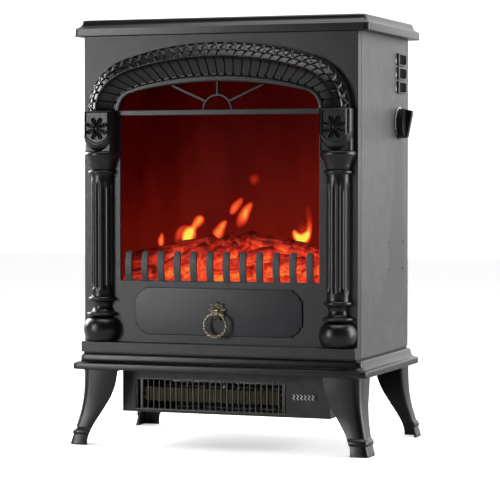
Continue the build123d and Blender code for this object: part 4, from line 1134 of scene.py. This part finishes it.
def flame_strips():
    """All tongues and halos as strips in one mesh, each a little in front of the last."""
    shape = bmesh.new()
    glow = shape.verts.layers.float.new("flame_heat")
    for index, (x, z, wide, tall, heat) in enumerate(halos):
        disc = bmesh.ops.create_grid(shape, x_segments=28, y_segments=28, size=1)["verts"]
        for vertex in disc:
            reach = min(1.0, math.hypot(vertex.co.x, vertex.co.y))
            vertex[glow] = heat * (0.5 + 0.5 * math.cos(math.pi * reach))
            vertex.co = ((x + vertex.co.x * wide) * MM, flame_y + 0.8 * MM - index * 0.05 * MM,
                         (z + vertex.co.y * tall) * MM)
    for index, rows in enumerate(tongues):
        steps = (len(rows) - 1) * 10
        strip = bmesh.ops.create_grid(shape, x_segments=16, y_segments=steps, size=0.5)["verts"]
        for vertex in strip:
            across = vertex.co.x * 2
            place = (vertex.co.y + 0.5) * (len(rows) - 1)
            x, z, half, heat = curve_row(rows, place)
            ahead = curve_row(rows, min(place + 0.05, len(rows) - 1.0))
            behind = curve_row(rows, max(place - 0.05, 0.0))
            lean = math.atan2(ahead[0] - behind[0], ahead[1] - behind[1])
            reach = across * half * 2.1
            ends = min(1.0, place / 0.5, (len(rows) - 1 - place) / 0.6)
            edge = (0.5 + 0.5 * math.cos(math.pi * across)) ** 0.8 * (0.25 + 0.75 * ends)
            vertex[glow] = max(0.0, heat * edge)
            vertex.co = ((x + reach * math.cos(lean)) * MM, flame_y - (index + 1) * 0.12 * MM,
                         (z - reach * math.sin(lean)) * MM)
    return shape


def flame_look():
    """Emission from stored heat, faded away where it is cool."""
    material, tree, shader, vector = new_look("flame_light")
    stored = tree.nodes.new("ShaderNodeAttribute")
    stored.attribute_name = "flame_heat"
    stretch = tree.nodes.new("ShaderNodeMapping")
    stretch.inputs["Scale"].default_value = (90, 90, 34)
    tree.links.new(vector, stretch.inputs["Vector"])
    lick = math_node(tree, "MULTIPLY_ADD", noise_node(tree, stretch.outputs[0], 1.0, 2.0), 0.30, 0.85)
    heat = math_node(tree, "MULTIPLY", stored.outputs["Fac"], lick)
    tree.links.new(heat_node(tree, heat), shader.inputs["Emission Color"])
    shader.inputs["Emission Strength"].default_value = 1.0
    shader.inputs["Base Color"].default_value = (0, 0, 0, 1)
    shader.inputs["Specular IOR Level"].default_value = 0.0
    fade = math_node(tree, "MULTIPLY_ADD", heat, 3.0, -0.9, clamp=True)
    tree.links.new(fade, shader.inputs["Alpha"])
    return material


flame_light = flame_look()
make_piece("projected_flames", flame_strips(), flame_light, "cabinet", (), hard=180, turn=False)


def glass_look():
    """Thin clear window glass, faintly smoked."""
    material, tree, shader, vector = new_look("window_glass")
    shader.inputs["Base Color"].default_value = (0.93, 0.93, 0.93, 1)
    shader.inputs["Transmission Weight"].default_value = 1.0
    shader.inputs["IOR"].default_value = 1.04
    smears = place_effect(tree, "smear", vector, {"Roughness": 0.0, "Amount": 0.02})
    tree.links.new(smears.outputs["Roughness"], shader.inputs["Roughness"])
    return material


dress(glass_look(), "window_glass")

# %% [markdown]
# Under the base hangs the fan heater. Its grille is a row of wires set in two rails, and behind it the
# element's thin fins make a brownish block. The wires are real round bars here, because each one draws its
# own fine light line.

# %% Heater grille and its mark
case_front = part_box("heater_case")[0][1]
grille_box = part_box("outlet_grille")
wire_count = 27


def wire_grille():
    """Upright wires between two rounded rails, and the upright ends."""
    shape = bmesh.new()
    low, high = grille_box
    middle = (low[0] + high[0]) / 2
    wire_y = case_front + 0.6 * MM
    for index in range(wire_count):
        x = middle + (index - wire_count // 2) * 8 * MM
        bar = Matrix.Translation((x, wire_y, (low[2] + high[2]) / 2))
        bmesh.ops.create_cone(shape, cap_ends=True, segments=10, radius1=0.8 * MM, radius2=0.8 * MM,
                              depth=high[2] - low[2] - 1 * MM, matrix=bar)
    for z, deep in ((low[2] + 0.9 * MM, 2.4), (high[2] - 0.9 * MM, 1.8)):
        add_block(shape, (middle, wire_y + 0.4 * MM, z), (high[0] - low[0], deep * MM, 1.5 * MM))
    round_hard_edges(shape, 0.25, 2, 60)
    return make_piece("wire_grille", shape, grille_enamel, "cabinet", ("outlet_grille",), hard=50)


def heat_mark():
    """A row of small printed heat waves on the plain part of the case."""
    shape = bmesh.new()
    for index in range(7):
        stroke = bmesh.ops.create_grid(shape, x_segments=2, y_segments=24, size=0.5)["verts"]
        for vertex in stroke:
            rise = vertex.co.y * 7.0
            sway = 1.0 * math.sin(rise * 1.35)
            vertex.co = ((96 + index * 5.2 + vertex.co.x * 1.3 + sway) * MM, case_front - 0.06 * MM,
                         (70 + rise) * MM)
    bmesh.ops.solidify(shape, geom=shape.faces[:], thickness=0.1 * MM)
    return make_piece("heat_wave_mark", shape, mark_print, "cabinet", (), hard=50)


wire_grille()
heat_mark()

# %% [markdown]
# The controls sit on the right side near the back: three rockers in black bezels over a thermostat knob on
# its dial. The frame's shapes are true, so they are copied with rounded edges. What is new is the printing:
# a white arc that marks the knob's travel, its ticks, the dot where the knob is off, and a stroke by each rocker.

# %% Controls
softened("rocker_bezels", bezel_black, 0.5, 3)
rocker_bodies = {"rocker_flame": "rocker_a", "rocker_low_heat": "rocker_b", "rocker_high_heat": "rocker_c"}
for rocker, body in rocker_bodies.items():
    softened(rocker, rocker_black, 0.8, 3, 30, body)
softened("thermostat_knob", knob_black, 0.9, 3, 40, "knob")
softened("knob_dial", knob_black, 0.3, 2, 40)
switch_heights = (513.6, 495.0, 476.4)
dial_low, dial_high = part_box("knob_dial")
dial_middle = box_middle((dial_high[0], *dial_low[1:]), dial_high)


def printed_arc(shape, inner, outer, first, last, lift=0.12):
    """Adds a thin raised band on the dial between two radii (mm) and two angles (degrees, 0 up, towards the front)."""
    start = math.radians(first)
    corners = []
    for radius, height in ((inner, 0), (outer, 0), (outer, lift), (inner, lift)):
        corners.append(shape.verts.new(dial_middle + Vector((height * MM, -radius * math.sin(start) * MM,
                                                             radius * math.cos(start) * MM))))
    section = shape.faces.new(corners)
    bmesh.ops.spin(shape, geom=[section] + list(section.edges) + corners, cent=dial_middle, axis=(1, 0, 0),
                   angle=math.radians(last - first), steps=max(2, int((last - first) / 3)), use_merge=False)


def dial_printing():
    """The travel arc, its ticks and the dot where the knob is off."""
    shape = bmesh.new()
    printed_arc(shape, 20.2, 21.9, -30, 118)
    printed_arc(shape, 20.2, 21.9, 128, 134)
    for step in range(7):
        printed_arc(shape, 18.8, 20.2, -30 + step * 24, -28.4 + step * 24)
    return make_piece("dial_printing", shape, mark_print, "cabinet", (), hard=50)


dial_printing()


def switch_marks():
    """A short printed stroke beside each rocker, on the edge that faces the front."""
    shape = bmesh.new()
    bezel_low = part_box("rocker_bezels")[0]
    panel_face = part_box("right_side_panel")[1][0]
    for z in switch_heights:
        add_block(shape, (panel_face + 0.06 * MM, bezel_low[1] - 3.6 * MM, (z - 2.4) * MM),
                  (0.12 * MM, 2.4 * MM, 6.0 * MM))
    round_hard_edges(shape, 0.03, 2)
    return make_piece("switch_strokes", shape, mark_print, "cabinet", (), hard=50)


switch_marks()

# %% [markdown]
# A pan-head screw is a flattened dome with a cross sunk into it. The dome is a circle drawn in ring by
# ring, and the cross is pressed by pushing down the points that lie under its two arms.

# %% Screws


def screw_head(shape, place, outwards, radius=3.8, tall=2.0, turn=0.3):
    """Adds one screw head at a place, facing outwards."""
    rings = ((1.0, 0.0), (1.0, 0.35), (0.95, 0.62), (0.84, 0.83), (0.68, 0.95), (0.52, 1.0), (0.4, 1.0), (0.3, 1.0),
             (0.2, 1.0), (0.1, 1.0))
    face = bmesh.ops.create_circle(shape, cap_ends=True, segments=40, radius=radius * MM)["verts"]
    disc = face[0].link_faces[0]
    made = set(face)
    for size, high in rings[1:]:
        bmesh.ops.inset_region(shape, faces=[disc], thickness=0.0005 * MM, depth=0)
        for vertex in disc.verts:
            flat = Vector((vertex.co.x, vertex.co.y, 0)).normalized() * radius * size
            arm = Matrix.Rotation(turn, 3, "Z") @ flat
            sunk = 0.9 if (min(abs(arm.x), abs(arm.y)) < 0.42 and flat.length < 2.2) else 0.0
            vertex.co = (flat.x * MM, flat.y * MM, (high * tall - sunk) * MM)
        made.update(disc.verts)
    stand = Vector(outwards).to_track_quat("Z", "Y").to_matrix().to_4x4()
    bmesh.ops.transform(shape, matrix=Matrix.Translation(place) @ stand, verts=list(made))


side_heads = bmesh.new()
side_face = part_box("right_side_panel")[1][0]
for side in (-1, 1):
    for index, (y, z) in enumerate((y, z) for y in (30.4, 96.6) for z in (232.2, 268.3)):
        screw_head(side_heads, Vector((side * side_face, y * MM, z * MM)), (side, 0, 0), turn=0.5 * index + 0.2)
make_piece("side_screw_heads", side_heads, zinc_steel, "cabinet", ("side_screws",), hard=35)
rear_heads = bmesh.new()
rear_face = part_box("rear_cover")[1][1]
for index, (x, z) in enumerate((x, z) for x in (-184, 184) for z in (140, 333, 526)):
    screw_head(rear_heads, Vector((x * MM, rear_face, z * MM)), (0, 1, 0), turn=0.4 * index)
make_piece("rear_screw_heads", rear_heads, black_zinc, "cabinet", ("rear_cover_screws",), hard=35)
softened("case_screws", black_zinc, 0.5, 2, 40)
dress(black_zinc, "leg_screws")

# %% [markdown]
# The rest of the frame already has its true shape: bent sheet, brackets, motors, boards and bushes. Sheet
# parts get their bend radius, and everything gets the finish of what it is made from.

# %% Sheet parts and inner parts
softened("left_side_panel", side_paint, 0.45, 3)
softened("right_side_panel", side_paint, 0.45, 3)
softened("rear_cover", side_paint, 0.3, 2, 40)
softened("cord_gland", nylon_black, 0.6, 3, 40)


def floor_pan():
    """The dark pan that closes the shadow gap between the cabinet and the base."""
    low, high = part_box("cabinet_floor")
    side_low, side_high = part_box("left_side_panel")[0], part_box("right_side_panel")[1]
    size = (side_high[0] - side_low[0] - 1 * MM, high[1] - low[1] + 12 * MM, high[2] - low[2])
    shape = bmesh.new()
    add_block(shape, box_middle(low, high) - Vector((0, 5 * MM, 0)), size)
    round_hard_edges(shape, 0.3, 2)
    return make_piece("floor_pan", shape, case_paint, "cabinet", ("cabinet_floor",), hard=40)


floor_pan()
dress(zinc_steel, "fire_shelf", "motor_bracket", "rod_bracket", "thermostat_body", "thermostat_spindle",
      "thermal_cutout", "blower_scroll", "blower_wheel")
dress(black_zinc, "element_frame")
dress(solid_look("motor_iron", (0.12, 0.12, 0.125), (0.3, 0.3, 0.3), 0.45, 400, 0.3, 0.15, 0.5, 0.05, 0.9),
      "flame_motor", "blower_motor")
dress(nylon_white, "rod_bush", "blower_bearing", "terminal_block")
dress(nylon_black, "glass_clips", "switch_bodies")
dress(bright_foil, "flame_rod")
dress(board_green, "flame_lamp_board", "ember_lamp_board")


fin_count = 95


def fin_stack():
    """The element: two rods through a close stack of thin fins."""
    shape = bmesh.new()
    low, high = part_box("heating_element")
    middle = box_middle(low, high)
    for step in range(fin_count):
        x = middle.x + (step - fin_count // 2) * 2.0 * MM
        add_block(shape, (x, middle.y, middle.z), (0.5 * MM, high[1] - low[1] - 0.1 * MM, high[2] - low[2]))
    for rise in (-4.5, 4.5):
        rod = Matrix.Translation((middle.x, middle.y, middle.z + rise * MM))
        rod = rod @ Matrix.Rotation(math.radians(90), 4, "Y")
        bmesh.ops.create_cone(shape, cap_ends=True, segments=24, radius1=2.35 * MM, radius2=2.35 * MM,
                              depth=high[0] - low[0], matrix=rod)
    round_hard_edges(shape, 0.08, 1, 60)
    return make_piece("element_fins", shape, browned_alloy, "cabinet", ("heating_element",), hard=40)


fin_stack()
